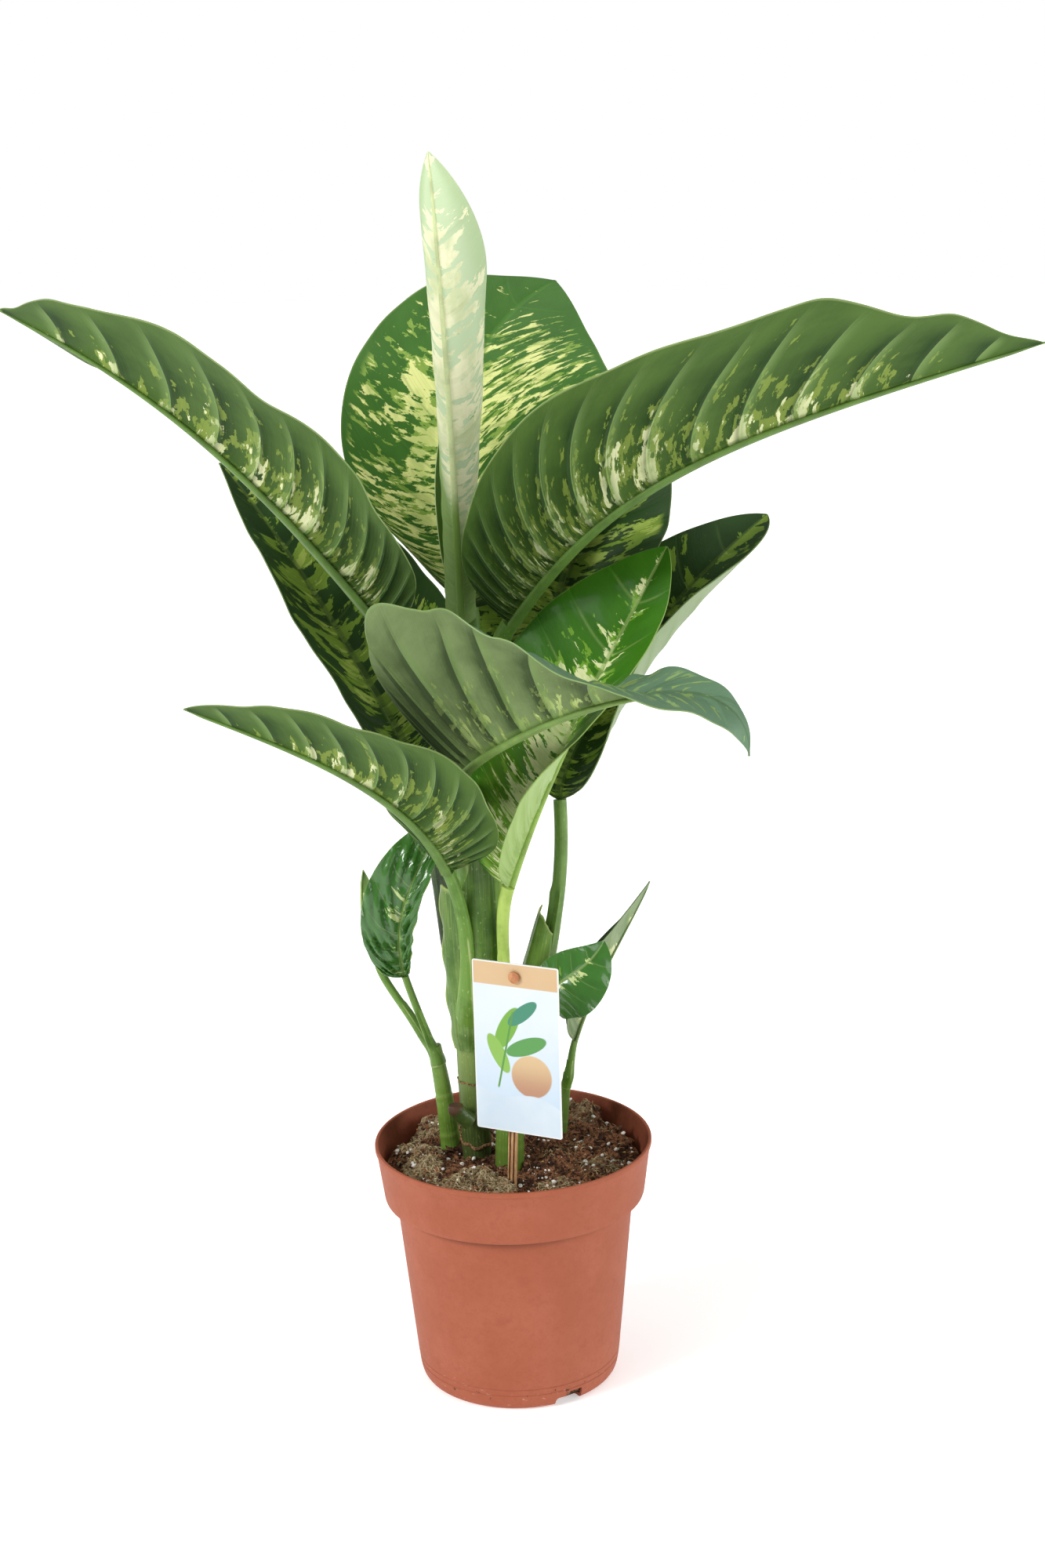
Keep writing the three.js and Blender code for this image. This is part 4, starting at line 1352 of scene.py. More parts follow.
@dataclass
class Stem:
    """A cane or shoot with rings where old leaves stood.

    rings holds each ring's height, how far it stands out and how brown it is.
    """

    name: str
    finish: GreenStem
    rings: Sequence[Triple] = ()
    husks: Sequence[Triple] = ()
    buds: Sequence[tuple[Triple, Triple, float]] = ()
    sides: int = 40
    steps: int = 99

    RING_WIDTH, BROWN_WIDTH = 1.5, 0.9
    DIP_ABOVE, DIP_WIDTH, DIP_SHARE = 2.6, 1.2, 0.6

    def __post_init__(self) -> None:
        """Looks up the stem's shape."""
        self.path, self.radius = STEM_SHAPES[self.name]

    def place(self, angle: Points, share: Points, extra: Points | float = 0.0) -> Points:
        """Gives points on the stem.

        Args:
            angle: Angles round it.
            share: Shares along it.
            extra: How far the points stand off it.

        Returns:
            The points in millimetres.
        """
        centre, direction = Curve(self.path).at(share)
        side = unit(np.cross(np.array([0.0, 1.0, 0.0]), direction))
        back = np.cross(direction, side)
        wide = three_way(self.radius, share) + extra
        return ringed(centre, side, back, wide, angle)

    def swelling(self, angle: Points, share: Points) -> tuple[Points, Points]:
        """Gives the relief of the rings.

        Args:
            angle: Angles round it.
            share: Shares along it.

        Returns:
            How far the rings stand out, and how brown they are.
        """
        centre, _ = Curve(self.path).at(share)
        level = centre[:, 2] + 1.2 * np.sin(angle + self.path[0][0]) + 0.3 * np.sin(3 * angle)
        out = 0.25 * np.sin(3 * angle + level * 0.02)
        brown = np.zeros_like(share)
        for height, rise, tint in self.rings:
            off = level - height
            dip = self.DIP_SHARE * bell(off - self.DIP_ABOVE, self.DIP_WIDTH)
            out = out + rise * (bell(off, self.RING_WIDTH) - dip)
            brown = np.maximum(brown, tint * bell(off, self.BROWN_WIDTH))
        return out, brown

    def husk(self, height: float, thick: float, wave: float) -> Piece:
        """Models the dry remains of a sheath round the stem.

        Args:
            height: Its height.
            thick: Its thickness.
            wave: How far it waves up and down.

        Returns:
            The remains.
        """
        levels, _ = Curve(self.path).at(np.linspace(0, 1, 200))
        share = float(np.interp(height, levels[:, 2], np.linspace(0, 1, 200)))
        centre = levels[int(share * 199)]
        wide = float(three_way(self.radius, np.array(share))) + 0.4
        size = {"major_radius": wide * MM, "minor_radius": thick * MM}
        piece = added("husk", bpy.ops.mesh.primitive_torus_add, major_segments=48, minor_segments=8, **size)
        ring = corners(piece) / MM
        turn = np.arctan2(ring[:, 1], ring[:, 0])
        ring[:, 2] = ring[:, 2] * 1.5 + wave * np.sin(2 * turn + 1) + 0.5 * wave * np.sin(5 * turn)
        ring[:, :2] *= (1 + 0.05 * np.sin(7 * turn) + 0.03 * np.sin(11 * turn + 2))[:, None]
        reshape(piece, ring + centre)
        dress(piece, Husk("dry_husk").material())
        return piece

    def bud(self, start: Triple, end: Triple, radius: float) -> Piece:
        """Models a cut side bud with a brown end.

        Args:
            start: Where it leaves the stem.
            end: Its cut end.
            radius: Its radius.

        Returns:
            The bud.
        """
        low, high = np.array(start, float), np.array(end, float)
        path = Curve((low, low + (high - low) * 0.4 - (0, 0, 1.5), high - (0, 0, 3.0), high))

        def shape(angle: Points, share: Points) -> Points:
            """Gives the bud's points."""
            point, tangent = path.at(share)
            side = unit(np.cross(tangent, np.array([0.0, 1.0, 0.1])))
            back = np.cross(tangent, side)
            wide = radius * (1 - 0.15 * share) * (1 - 0.25 * fade(share, 0.9, 1.0))
            wide = wide + 0.3 * bell(share - 0.8, 0.06) + 0.15 * np.sin(3 * angle)
            return ringed(point, side, back, wide, angle)

        piece = tube("bud", 20, 16, shape)
        points = corners(piece) / MM
        along = np.linalg.norm(points - low, axis=1) / path.length
        mark_points(piece, "grain", points[:, 1] * MM, points[:, 2] * MM, fade(along, 0.7, 0.95))
        low_green, end_green, cut_brown = (62, 82, 34), (70, 92, 40), (74, 46, 28)
        finish = GreenStem("bud_green", low_green, low_green, end_green, cut_brown, (160, 180))
        dress(piece, finish.material())
        return piece

    def build(self) -> None:
        """Builds and dresses the stem."""

        def shape(angle: Points, share: Points) -> Points:
            """Gives the stem's points."""
            return self.place(angle, share, self.swelling(angle, share)[0])

        piece = tube(self.name + "_cane", self.sides, self.steps, shape)
        points = corners(piece) / MM
        length = Curve(self.path)
        share = np.interp(points[:, 2], length.points[:, 2], length.marks / length.length)
        centre, _ = length.at(share)
        off = points - centre
        angle = np.arctan2(off[:, 1], off[:, 0])
        brown = self.swelling(angle, share)[1]
        mark_points(piece, "grain", angle * self.radius[0] * MM, points[:, 2] * MM, brown)
        dress(piece, self.finish.material())
        husks = [self.husk(*values) for values in self.husks]
        buds = [self.bud(*values) for values in self.buds]
        finished(joined(self.name + "_cane", [piece, *husks, *buds]), Slot.CANE, self.name, smooth=60)


@dataclass
class Sheath:
    """The thin foot of an old stalk, wrapped round the stems, with free wavy edges.

    turn holds the angles of its two free edges in degrees, and top its height at the first edge, between them
    and at the second one. colours are those of its foot, middle and head, the last from the height full_at.
    """

    name: str
    foot: Triple
    head: Triple
    radius: Triple
    turn: tuple[float, float]
    top: Triple
    colours: tuple[Triple, Triple, Triple]
    full_at: float
    seed: float = 0.0
    flare: float = 1.6
    streaks: float = 0.4
    edge_tone: Triple = (176, 190, 116)
    thickness: float = 0.9
    columns: int = 64
    rows: int = 60

    def build(self) -> None:
        """Builds and dresses the sheath."""
        size = {"x_subdivisions": self.columns, "y_subdivisions": self.rows, "size": 2}
        piece = added("sheath_" + self.name, bpy.ops.mesh.primitive_grid_add, **size)
        flat = corners(piece)
        around, share = (flat[:, 0] + 1) / 2, (flat[:, 1] + 1) / 2
        foot, head = np.array(self.foot, float), np.array(self.head, float)
        peak = np.interp(around, (0.0, 0.5, 1.0), self.top) + 2.5 * np.sin(9 * around + self.seed)
        level = foot[2] + share * (peak - foot[2])
        lean = (level - foot[2]) / (head[2] - foot[2])
        angle = np.radians(self.turn[0] + (self.turn[1] - self.turn[0]) * around)
        edge = np.abs(2 * around - 1) ** 8
        wide = three_way(self.radius, lean) * (0.8 + 0.2 * fade(share, 0.0, 0.12))
        wave = 0.4 + 0.6 * np.sin(level * 0.21 + self.seed)
        wide = wide + self.flare * edge * wave + 0.25 * np.sin(7 * angle)
        centre = foot + (head - foot) * lean[:, None]
        x, y = centre[:, 0] + wide * np.cos(angle), centre[:, 1] + wide * np.sin(angle)
        reshape(piece, np.stack([x, y, level], -1))
        pale = np.clip(np.abs(2 * around - 1) ** 26 + 0.7 * fade(share, 0.97, 1.0), 0, 0.8)
        mark_points(piece, "grain", angle * self.radius[0] * MM, level * MM, pale)
        span = (foot[2], self.full_at)
        name = f"sheath_{self.name}_green"
        finish = GreenStem(name, *self.colours, self.edge_tone, span, streaks=self.streaks)
        dress(piece, finish.material())
        modify(piece, "SOLIDIFY", thickness=self.thickness * MM, offset=0.0, use_even_offset=False)
        finished(piece, Slot.STALK, smooth=60)


# Leaves


@dataclass
class Leaf:
    """A leaf: its stalk, and its blade with the rib below.

    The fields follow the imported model: stalk, approach and radius shape the stalk, rib is the midrib's curve,
    facing the way the upper face looks, and width, lift and curl have a left and a right half. veins is the
    number of lateral veins in a half, and quilt tells how far the blade bulges between them.
    """

    name: str
    look: LeafLook
    seed: float
    stalk: Sequence[Triple]
    radius: Triple
    rib: Sequence[Triple]
    width: tuple[float, float]
    round: float
    facing: Sequence[Triple]
    lift: Halves
    curl: Halves
    wave: Triple
    lobe: float
    rib_width: float
    stem: str = "stem_main"
    approach: float = 35
    sharp: float = 0.9
    veins: int = 13
    quilt: float = 1.7
    ripple: float = 0.5
    shingle: float = 0.2
    crumple: float = 0.0
    bumps: Sequence[Triple] = ()
    bumped: int = 1
    sweep: float = 2.2
    slot: Slot = Slot.BLADE
    stalk_colours: tuple[Triple, Triple, Triple] = ((96, 134, 50), (102, 142, 54), (98, 136, 56))
    sheath: float = 0.62
    wing: float = 0.26
    clasp: float = 0.3
    rows: int = 200
    half_columns: int = 20

    THICKNESS = 0.7
    FIRST, LAST = 0.02, 1.0
    END_POWER, BEND_POWER = 1.4, 1.4
    LOBE_SHARE = 0.35
    RIB_TAPER, KEEL_TAPER, RIB_SHARE = 0.75, 0.8, 0.15
    LEAST_MARGIN, LEAST_RIB = 0.45, 0.25
    SECTION_STEPS = 24
    STALK_GAP = 0.2
    PLEAT, PLEAT_RISE, DIMPLE, TROUGH = 2.0, 0.06, 0.25, 0.35
    KEEL_END, KEEL_SHRINK, KEEL_SINK = 0.93, 0.8, 0.12
    GROOVE, WING_ANGLE, WING_WIDTH = 0.3, 0.82, 0.17

    def __post_init__(self) -> None:
        """Measures the midrib."""
        self.curve = Curve(self.rib)

    def outline(self, share: Points) -> Points:
        """Returns half the blade's width at shares of its length, as a share of its widest."""
        widest = self.round / (self.round + self.sharp)
        share = np.clip(share, 0, 1)
        return (share / widest) ** self.round * ((1 - share) / (1 - widest)) ** self.sharp

    def frame_at(self, along: Points) -> tuple[Points, Points, Points]:
        """Reads the midrib.

        Args:
            along: Millimetres from the blade's base.

        Returns:
            The points, the upward directions and the directions to the right.
        """
        share = np.clip(along / self.curve.length, 0, 1)
        point, tangent = self.curve.at(share)
        point = point + tangent * (along - share * self.curve.length)[..., None]
        knots = np.linspace(0, 1, len(self.facing))
        table = np.array(self.facing, float)
        up = np.stack([np.interp(share, knots, table[:, k]) for k in range(3)], -1)
        up = unit(up - tangent * np.sum(up * tangent, -1, keepdims=True))
        return point, up, np.cross(tangent, up)

    def section(self, half: Points, share: Points, across: Points) -> tuple[Points, Points]:
        """Bends a half of the blade.

        Args:
            half: 0 for the left half and 1 for the right one.
            share: Shares along the midrib.
            across: Millimetres from the midrib.

        Returns:
            How far the points lie sideways and upwards.
        """
        lift = np.where(half, three_way(self.lift[1], share), three_way(self.lift[0], share))
        curl = np.where(half, three_way(self.curl[1], share), three_way(self.curl[0], share))
        wide = np.where(half, self.width[1], self.width[0])
        step = np.abs(across) / self.SECTION_STEPS
        out, rise = np.zeros_like(across), np.zeros_like(across)
        for k in range(self.SECTION_STEPS):
            angle = np.radians(lift + curl * (k + 0.5) * step / wide)
            out += np.cos(angle) * step
            rise += np.sin(angle) * step
        return np.sign(across) * out, rise

    def blade_points(self, u: Points, q: Points) -> tuple[Points, Points]:
        """Shapes the blade's middle surface.

        Args:
            u: Rows of shares from margin to margin, from -1 to 1.
            q: The share of the blade that each row's vein stands at.

        Returns:
            The points, and for each its distance from the rib, its vein's place and its share of the half.
        """
        size = self.curve.length
        start = size * q**self.sweep
        reach = q**self.END_POWER
        end = size * reach - self.lobe * np.sin(math.pi * np.minimum(1, q / self.LOBE_SHARE)) ** 2
        full = self.outline(reach)
        half = u > 0
        margin = np.where(half, self.width[1], self.width[0]) * full
        for place, rise, spread in self.bumps:
            margin = margin + rise * (self.bumped * u > 0) * bell(reach - place, spread)
        margin = np.maximum(margin, self.LEAST_MARGIN)
        rib_half = self.rib_width * (1 - self.RIB_TAPER * q)
        inner = np.maximum(np.minimum(rib_half, margin * self.RIB_SHARE), self.LEAST_RIB)
        edge = 1 / self.half_columns
        s = np.clip((np.abs(u) - edge) / (1 - edge), 0, 1)
        near = np.where(np.abs(u) < edge, inner * np.abs(u) / edge, inner + (margin - inner) * s)
        across = np.sign(u) * near
        along = start + (end - start) * s**self.BEND_POWER
        point, up, side = self.frame_at(along)
        out, rise = self.section(half, along / size, across)
        swing, count, phase = self.wave
        turn = math.tau * count * along / size + phase + half
        wave = swing * full * s * s * np.sin(turn)
        wave += self.ripple * full * s**4 * np.sin(2.7 * turn + self.seed) * (1 + 0.5 * np.sin(1.3 * turn))
        point = point + side * out[..., None] + up * (rise + wave)[..., None]
        normal = self.normals(point)
        turn = math.tau * self.veins * q
        shingle = sum(np.sin(k * (turn + 0.57)) / k for k in range(1, 6)) * 0.9
        bulge = np.abs(np.sin(turn / 2)) ** 0.8 - 0.6 + self.shingle * shingle
        grown = fade(q, 0.03, 0.14) * (1 - fade(q, 0.88, 1.0))
        pleat = self.PLEAT * self.quilt * np.sqrt(full) * grown
        pleat = pleat * s / (s + self.PLEAT_RISE) * (1 - s) ** 0.8 * bulge
        dimple = self.DIMPLE * np.sqrt(full) * s * (1 - s) * np.sin(across * 0.55 + self.seed)
        dimple = dimple * np.sin(q * 97)
        folds = np.sin(34 * q + 5 * np.sin(3 * u + 2)) * np.sin(6 * s + 9 * q)
        folds = folds + 0.6 * np.sin(58 * q - 11 * s + 4 * u)
        dimple = dimple + self.crumple * np.sqrt(full) * fade(s, 0.04, 0.3) * (1 - 0.7 * s) * folds
        trough = -self.TROUGH * full * (np.abs(u) < edge * 0.5)
        point = point + normal * (pleat + dimple + trough)[..., None]
        return point, np.stack([across * MM, q * size * MM, s], -1)

    def normals(self, point: Points) -> Points:
        """Returns the upward normals of a grid of points."""
        along = np.gradient(point, axis=0)
        across = np.gradient(point, axis=1)
        return unit(np.cross(across, along))

    def blade(self) -> Piece:
        """Models the blade with its two faces and rim.

        Returns:
            The blade.
        """
        columns = 2 * self.half_columns
        size = {"x_subdivisions": columns, "y_subdivisions": self.rows, "size": 2}
        piece = added("blade_" + self.name, bpy.ops.mesh.primitive_grid_add, **size)
        flat = corners(piece)
        order = np.lexsort((np.round(flat[:, 0], 5), np.round(flat[:, 1], 5)))
        grid = flat[order].reshape(self.rows + 1, columns + 1, 3)
        q = self.FIRST + (self.LAST - self.FIRST) * (grid[:, :, 1] + 1) / 2
        point, veins = self.blade_points(grid[:, :, 0], q)
        placed, kept = np.empty_like(flat), np.empty_like(flat)
        placed[order], kept[order] = point.reshape(-1, 3), veins.reshape(-1, 3)
        reshape(piece, placed)
        mark_points(piece, "vein", *kept.T)
        return piece

    def keel(self) -> Piece:
        """Models the rib that stands out below the blade.

        Returns:
            The rib.
        """
        length = self.curve.length

        def shape(angle: Points, share: Points) -> Points:
            """Gives the rib's points."""
            point, up, side = self.frame_at(share * length)
            tip = 1 - self.KEEL_SHRINK * fade(share, self.KEEL_END, 1)
            wide = np.maximum(self.rib_width * (1 - self.RIB_TAPER * share), 0.5) * tip
            deep = self.rib_width * (1 - self.KEEL_TAPER * share) * tip + 0.5
            drop = -deep / 2 + self.KEEL_SINK
            out = wide * (np.sign(np.cos(angle)) * np.abs(np.cos(angle)) ** 0.8)
            return point + side * out[:, None] + up * (drop + deep / 2 * np.sin(angle))[:, None]

        piece = tube("keel_" + self.name, 16, 60, shape)
        count = len(piece.data.vertices)
        points = corners(piece) / MM
        apart = np.linalg.norm(points[:, None, :] - self.curve.points[None, ::4, :], axis=-1)
        along = self.curve.marks[::4][np.argmin(apart, axis=1)] * MM
        mark_points(piece, "vein", np.zeros(count), along, np.zeros(count))
        return piece

    def build_blade(self) -> None:
        """Builds and dresses the blade and its rib."""
        look, length = self.look, self.curve.length
        faces = [
            BladeFace(f"{side}_{self.name}", look, self.seed, self.veins, length, side == "under")
            for side in ("upper", "under")
        ]
        rim = PlainGreen("rim_" + self.name, look.margin, look.rib)
        # the rib takes the base tint too: own green on the newest leaf, painted shade on the centre back leaf
        tinted = ()
        if look.base_reach and look.base_under:
            tinted = (look.base, look.base_reach**self.sweep * length)
        deep = tuple(0.8 * part for part in look.rib)
        rib = PlainGreen("rib_" + self.name, look.rib, deep, 0.4, *tinted)
        finishes = [finish.material() for finish in (*faces, rim, rib)]
        piece = self.blade()
        dress(piece, *finishes)
        wall = {"thickness": self.THICKNESS * MM, "offset": 0.0, "use_even_offset": False}
        modify(piece, "SOLIDIFY", **wall, material_offset=1, material_offset_rim=2)
        keel = self.keel()
        dress(keel, *finishes)
        for face in keel.data.polygons:
            face.material_index = len(finishes) - 1
        piece = joined("leaf_" + self.name, [piece, keel])
        finished(piece, self.slot, f"leaf_{self.name}_blade", smooth=50)

    def build_stalk(self) -> None:
        """Builds and dresses the stalk with the sheath on its lower part."""
        start = np.array(self.rib[0], float)
        direction = unit(np.array(self.rib[1], float) - start)
        end = start - direction * self.STALK_GAP
        path = Curve([*self.stalk, end - direction * self.approach, end])
        controls, thick = STEM_SHAPES[self.stem]
        axis = Curve(controls)
        facing = np.array(self.facing[0], float)
        marks: dict[str, Points] = {}

        def shape(angle: Points, share: Points) -> Points:
            """Gives the stalk's points."""
            point, tangent = path.at(share)
            hold = 1 - fade(share, 0.0, self.clasp)
            level = np.interp(point[:, 2], axis.points[:, 2], axis.marks / axis.length)
            point = point + (axis.at(level)[0] - point) * hold[:, None]
            up = unit(facing - tangent * (tangent @ facing)[:, None])
            side = np.cross(tangent, up)
            off = np.abs((angle - math.pi / 2 + math.pi) % (math.tau) - math.pi)
            here = 1 - fade(share, self.sheath - 0.03, self.sheath + 0.02)
            groove = self.GROOVE * bell(off, 0.5) * (0.35 + 0.65 * here) * (1 - hold)
            frill = 1 + 0.15 * np.sin(share * 31 + self.seed) + 0.06 * np.sin(share * 77)
            wing = bell(off - self.WING_ANGLE, self.WING_WIDTH) * here * frill
            wing = wing * (0.4 + 0.6 * share / self.sheath)
            wide = three_way(self.radius, share) * (1 - groove + self.wing * wing * (1 - hold))
            wide = wide + (three_way(thick, level) + 0.5 - wide) * hold
            marks["wing"] = wing * (1 - hold)
            marks["foot"] = 1 - fade(share, 0.0, 0.012)
            marks["along"] = share * path.length
            marks["angle"] = angle
            return ringed(point, side, up, wide, angle)

        piece = tube("stalk_" + self.name, 48, 64, shape)
        pale = np.clip(marks["wing"] * 1.1 - 0.35, 0, 0.8) + 0.5 * marks["foot"]
        wide = self.radius[1] * MM
        mark_points(piece, "grain", marks["angle"] * wide, marks["along"] * MM, pale)
        low, middle, high = self.stalk_colours
        finish = GreenStem("stalk_" + self.name, low, middle, high, (196, 206, 140), (0, path.length))
        dress(piece, finish.material())
        finished(piece, Slot.STALK, f"leaf_{self.name}_stalk", smooth=60)


# Label


@dataclass
class Label:
    """A card on a flat stake, held by a stud."""

    size: Triple = (55.0, 104.0, 0.7)
    centre: Triple = (4.5, -62.0, 232.0)
    yaw: float = -26.0
    corner: float = 1.2
    hole: float = 2.4
    hole_drop: float = 8.0
    stake: tuple[float, float] = (5.2, 2.4)
    foot: Triple = (-3.5, -40.0, 86.0)
    top: float = 4.0
    head: tuple[float, float] = (3.6, 1.4)
    gap: float = 0.3
    groove: tuple[float, float] = (0.8, 1.7)
    groove_depth: float = 0.5
    stake_bevel: float = 0.22
    stud_bevel: float = 0.6

    def settle(self, piece: Piece) -> None:
        """Turns a piece like the card and moves it there."""
        turn = Matrix.Rotation(math.radians(self.yaw), 4, "Z")
        piece.matrix_world = Matrix.Translation(Vector(self.centre) * MM) @ turn
        activate(piece)
        bpy.ops.object.transform_apply(location=True, rotation=True, scale=True)

    def rod(self, name: str, radius: float, length: float, ahead: float) -> Piece:
        """Models a round rod through the card's hole.

        Args:
            name: The rod's name.
            radius: Its radius in metres.
            length: Its length in metres.
            ahead: How far its middle stands off the card's, in millimetres.

        Returns:
            The rod.
        """
        place = Vector((0, ahead, self.size[1] / 2 - self.hole_drop)) * MM
        size = {"vertices": 32, "radius": radius, "depth": length, "rotation": (math.pi / 2, 0, 0)}
        return added(name, bpy.ops.mesh.primitive_cylinder_add, location=place, **size)

    def card(self) -> None:
        """Builds and dresses the card."""
        width, height, thickness = (value * MM for value in self.size)
        size = (width, thickness, height)
        piece = added("card_printed", bpy.ops.mesh.primitive_cube_add, size=1, scale=size)
        deep = corners(piece)[:, 1]
        pick(piece, "EDGE", lambda edge: abs(np.subtract(*deep[list(edge.vertices)])) > thickness / 2)
        bpy.ops.mesh.bevel(offset=self.corner * MM, segments=8, affect="EDGES")
        object_mode()
        cut(piece, self.rod("hole_tool", self.hole * MM, TOOL_LENGTH, 0))
        front = PrintedCard("card_print", self.centre, self.yaw, self.size[:2]).material()
        back = Crumb("card_paper", (244, 243, 238), (232, 230, 222), 0.55).material()
        dress(piece, front, back)
        for face in piece.data.polygons:
            face.material_index = 0 if face.normal.y < -0.5 else 1
        self.settle(piece)
        finished(piece, Slot.CARD, "label_card")

    def pin(self) -> None:
        """Builds and dresses the stake with its two grooves, and the stud."""
        wide, thick = self.stake
        drop = self.size[1] / 2 - self.hole_drop
        back = self.size[2] / 2 + self.gap + thick / 2
        yaw = math.radians(self.yaw)
        deep = np.array([-math.sin(yaw), math.cos(yaw), 0])
        across = np.array([math.cos(yaw), math.sin(yaw), 0])
        foot = np.array(self.foot)
        top = np.array(self.centre) + deep * back + np.array([0, 0, drop + self.top])
        cube = bpy.ops.mesh.primitive_cube_add
        stake = added("stake", cube, size=1, location=(0, 0, 0.5), scale=(wide, thick, 1))
        edit_mode()
        inner, outer = self.groove
        for place in (-outer, -inner, inner, outer):
            bpy.ops.mesh.select_all(action="SELECT")
            bpy.ops.mesh.bisect(plane_co=(place, 0, 0), plane_no=(1, 0, 0))

        def grooved(face: bpy.types.MeshPolygon, margin: float = 0.0) -> bool:
            """Tells whether a face lies in a groove."""
            return abs(face.normal.y) > 0.5 and inner - margin < abs(face.center.x) < outer + margin

        pick(stake, "FACE", grooved)
        bpy.ops.mesh.extrude_faces_move(TRANSFORM_OT_shrink_fatten={"value": -self.groove_depth})
        object_mode()
        sharp = {"limit_method": "ANGLE", "angle_limit": math.radians(40)}
        modify(stake, "BEVEL", width=self.stake_bevel, segments=2, **sharp)
        # painted shade: the faces in the grooves get a darker copy of the wood
        groove = WoodStick("stake_groove", (96, 62, 40), (58, 36, 24))
        dress(stake, WoodStick("stake_wood").material(), groove.material())
        for face in stake.data.polygons:
            face.material_index = int(grooved(face, 0.05))
        local = corners(stake)
        placed = foot + (top - foot) * local[:, 2:3] + across * local[:, 0:1] + deep * local[:, 1:2]
        reshape(stake, placed)
        parts = []
        for radius, length, ahead in (
            (self.hole - self.gap, 2 * back, 0.0),
            (self.head[0], self.head[1], -(self.size[2] + self.gap + self.head[1] / 2)),
        ):
            part = self.rod("stud", radius * MM, length * MM, ahead)
            sharp = {"limit_method": "ANGLE", "angle_limit": math.radians(50)}
            modify(part, "BEVEL", width=self.stud_bevel * MM, segments=4, **sharp)
            self.settle(part)
            parts.append(part)
        stud = Crumb("stud_cap", (206, 146, 100), (176, 114, 74), 0.4).material()
        for part in parts:
            dress(part, stud)
        finished(joined("stake_and_stud", [stake, *parts]), Slot.PIN, "label_pin", smooth=40)

    def build(self) -> None:
        """Builds the card and its pin."""
        self.card()
        self.pin()


# Studio


@dataclass
class Studio:
    """Pale floor, soft lights and the camera."""

    eye: Triple = (0.012, -1.277, 0.685)
    pitch: float = 13.65
    roll: float = -1.65
    lens: float = 51.0
    film: float = 36.0
    floor_size: float = 60.0
    floor_drop: float = 0.0004
    world: float = 0.27
    suns: Sequence[tuple[str, Triple, float, float]] = (
        ("key", (-1.7, -1.0, 1.2), 1.9, 20.0),
        ("fill", (1.9, -0.75, 0.6), 1.3, 30.0),
        ("top", (0.1, 0.3, 2.0), 0.9, 60.0),
    )
    boxes: Sequence[tuple[str, Triple, Triple, float, float]] = (
        ("left_box", (-1.3, -1.7, 1.7), (0.0, 0.0, 0.42), 0.9, 7.0),
        ("right_box", (1.5, -1.5, 1.4), (0.0, 0.0, 0.4), 0.7, 4.0),
    )

    def camera(self) -> None:
        """Places the camera."""
        data = bpy.data.cameras.new("camera")
        data.sensor_fit = "VERTICAL"
        data.sensor_height = self.film
        data.lens = self.lens
        data.clip_end = 200
        camera = bpy.data.objects.new("camera", data)
        bpy.context.collection.objects.link(camera)
        tilt = Matrix.Rotation(math.radians(90 - self.pitch), 4, "X")
        roll = Matrix.Rotation(math.radians(self.roll), 4, "Z")
        camera.matrix_world = Matrix.Translation(self.eye) @ (tilt @ roll)
        bpy.context.scene.camera = camera

    def hang(self, data: bpy.types.Light, place: Triple, aim: Triple) -> None:
        """Hangs a lamp at a place and turns it to what it lights."""
        lamp = bpy.data.objects.new(data.name, data)
        bpy.context.collection.objects.link(lamp)
        turn = (Vector(aim) - Vector(place)).to_track_quat("-Z", "Y").to_matrix().to_4x4()
        lamp.matrix_world = Matrix.Translation(place) @ turn

    def light(self) -> None:
        """Hangs the lights and sets the air around them."""
        for name, place, strength, spread in self.suns:
            data = bpy.data.lights.new(name, "SUN")
            data.energy = strength
            data.angle = math.radians(spread)
            self.hang(data, place, (0, 0, 0))
        for name, place, aim, size, power in self.boxes:
            data = bpy.data.lights.new(name, "AREA")
            data.size = size
            data.energy = power
            self.hang(data, place, aim)
        world = bpy.data.worlds.new("studio_air")
        air = Look(world)
        white = {"Color": (1, 1, 1, 1)}
        lit = air.node("ShaderNodeBackground", None, {**white, "Strength": self.world})
        seen = air.node("ShaderNodeBackground", None, white)
        rays = air.node("ShaderNodeLightPath")
        chosen = {0: rays.outputs["Is Camera Ray"], 1: lit.outputs[0], 2: seen.outputs[0]}
        both = air.node("ShaderNodeMixShader", None, chosen)
        air.node("ShaderNodeOutputWorld", None, {"Surface": both.outputs[0]})
        bpy.context.scene.world = world

    def floor(self) -> None:
        """Lays the floor."""
        piece = added("studio_floor", bpy.ops.mesh.primitive_plane_add, size=self.floor_size)
        reshape(piece, corners(piece) / MM - np.array([0, 0, self.floor_drop / MM]))
        dress(piece, StudioPaper().material())

    def build(self) -> None:
        """Builds the studio."""
        self.camera()
        self.light()
        self.floor()
        view = bpy.context.scene.view_settings
        view.view_transform = "Standard"
        view.exposure = 0.0
        LOG.info("studio: %d lamps", len(self.suns) + len(self.boxes))


# Assembly


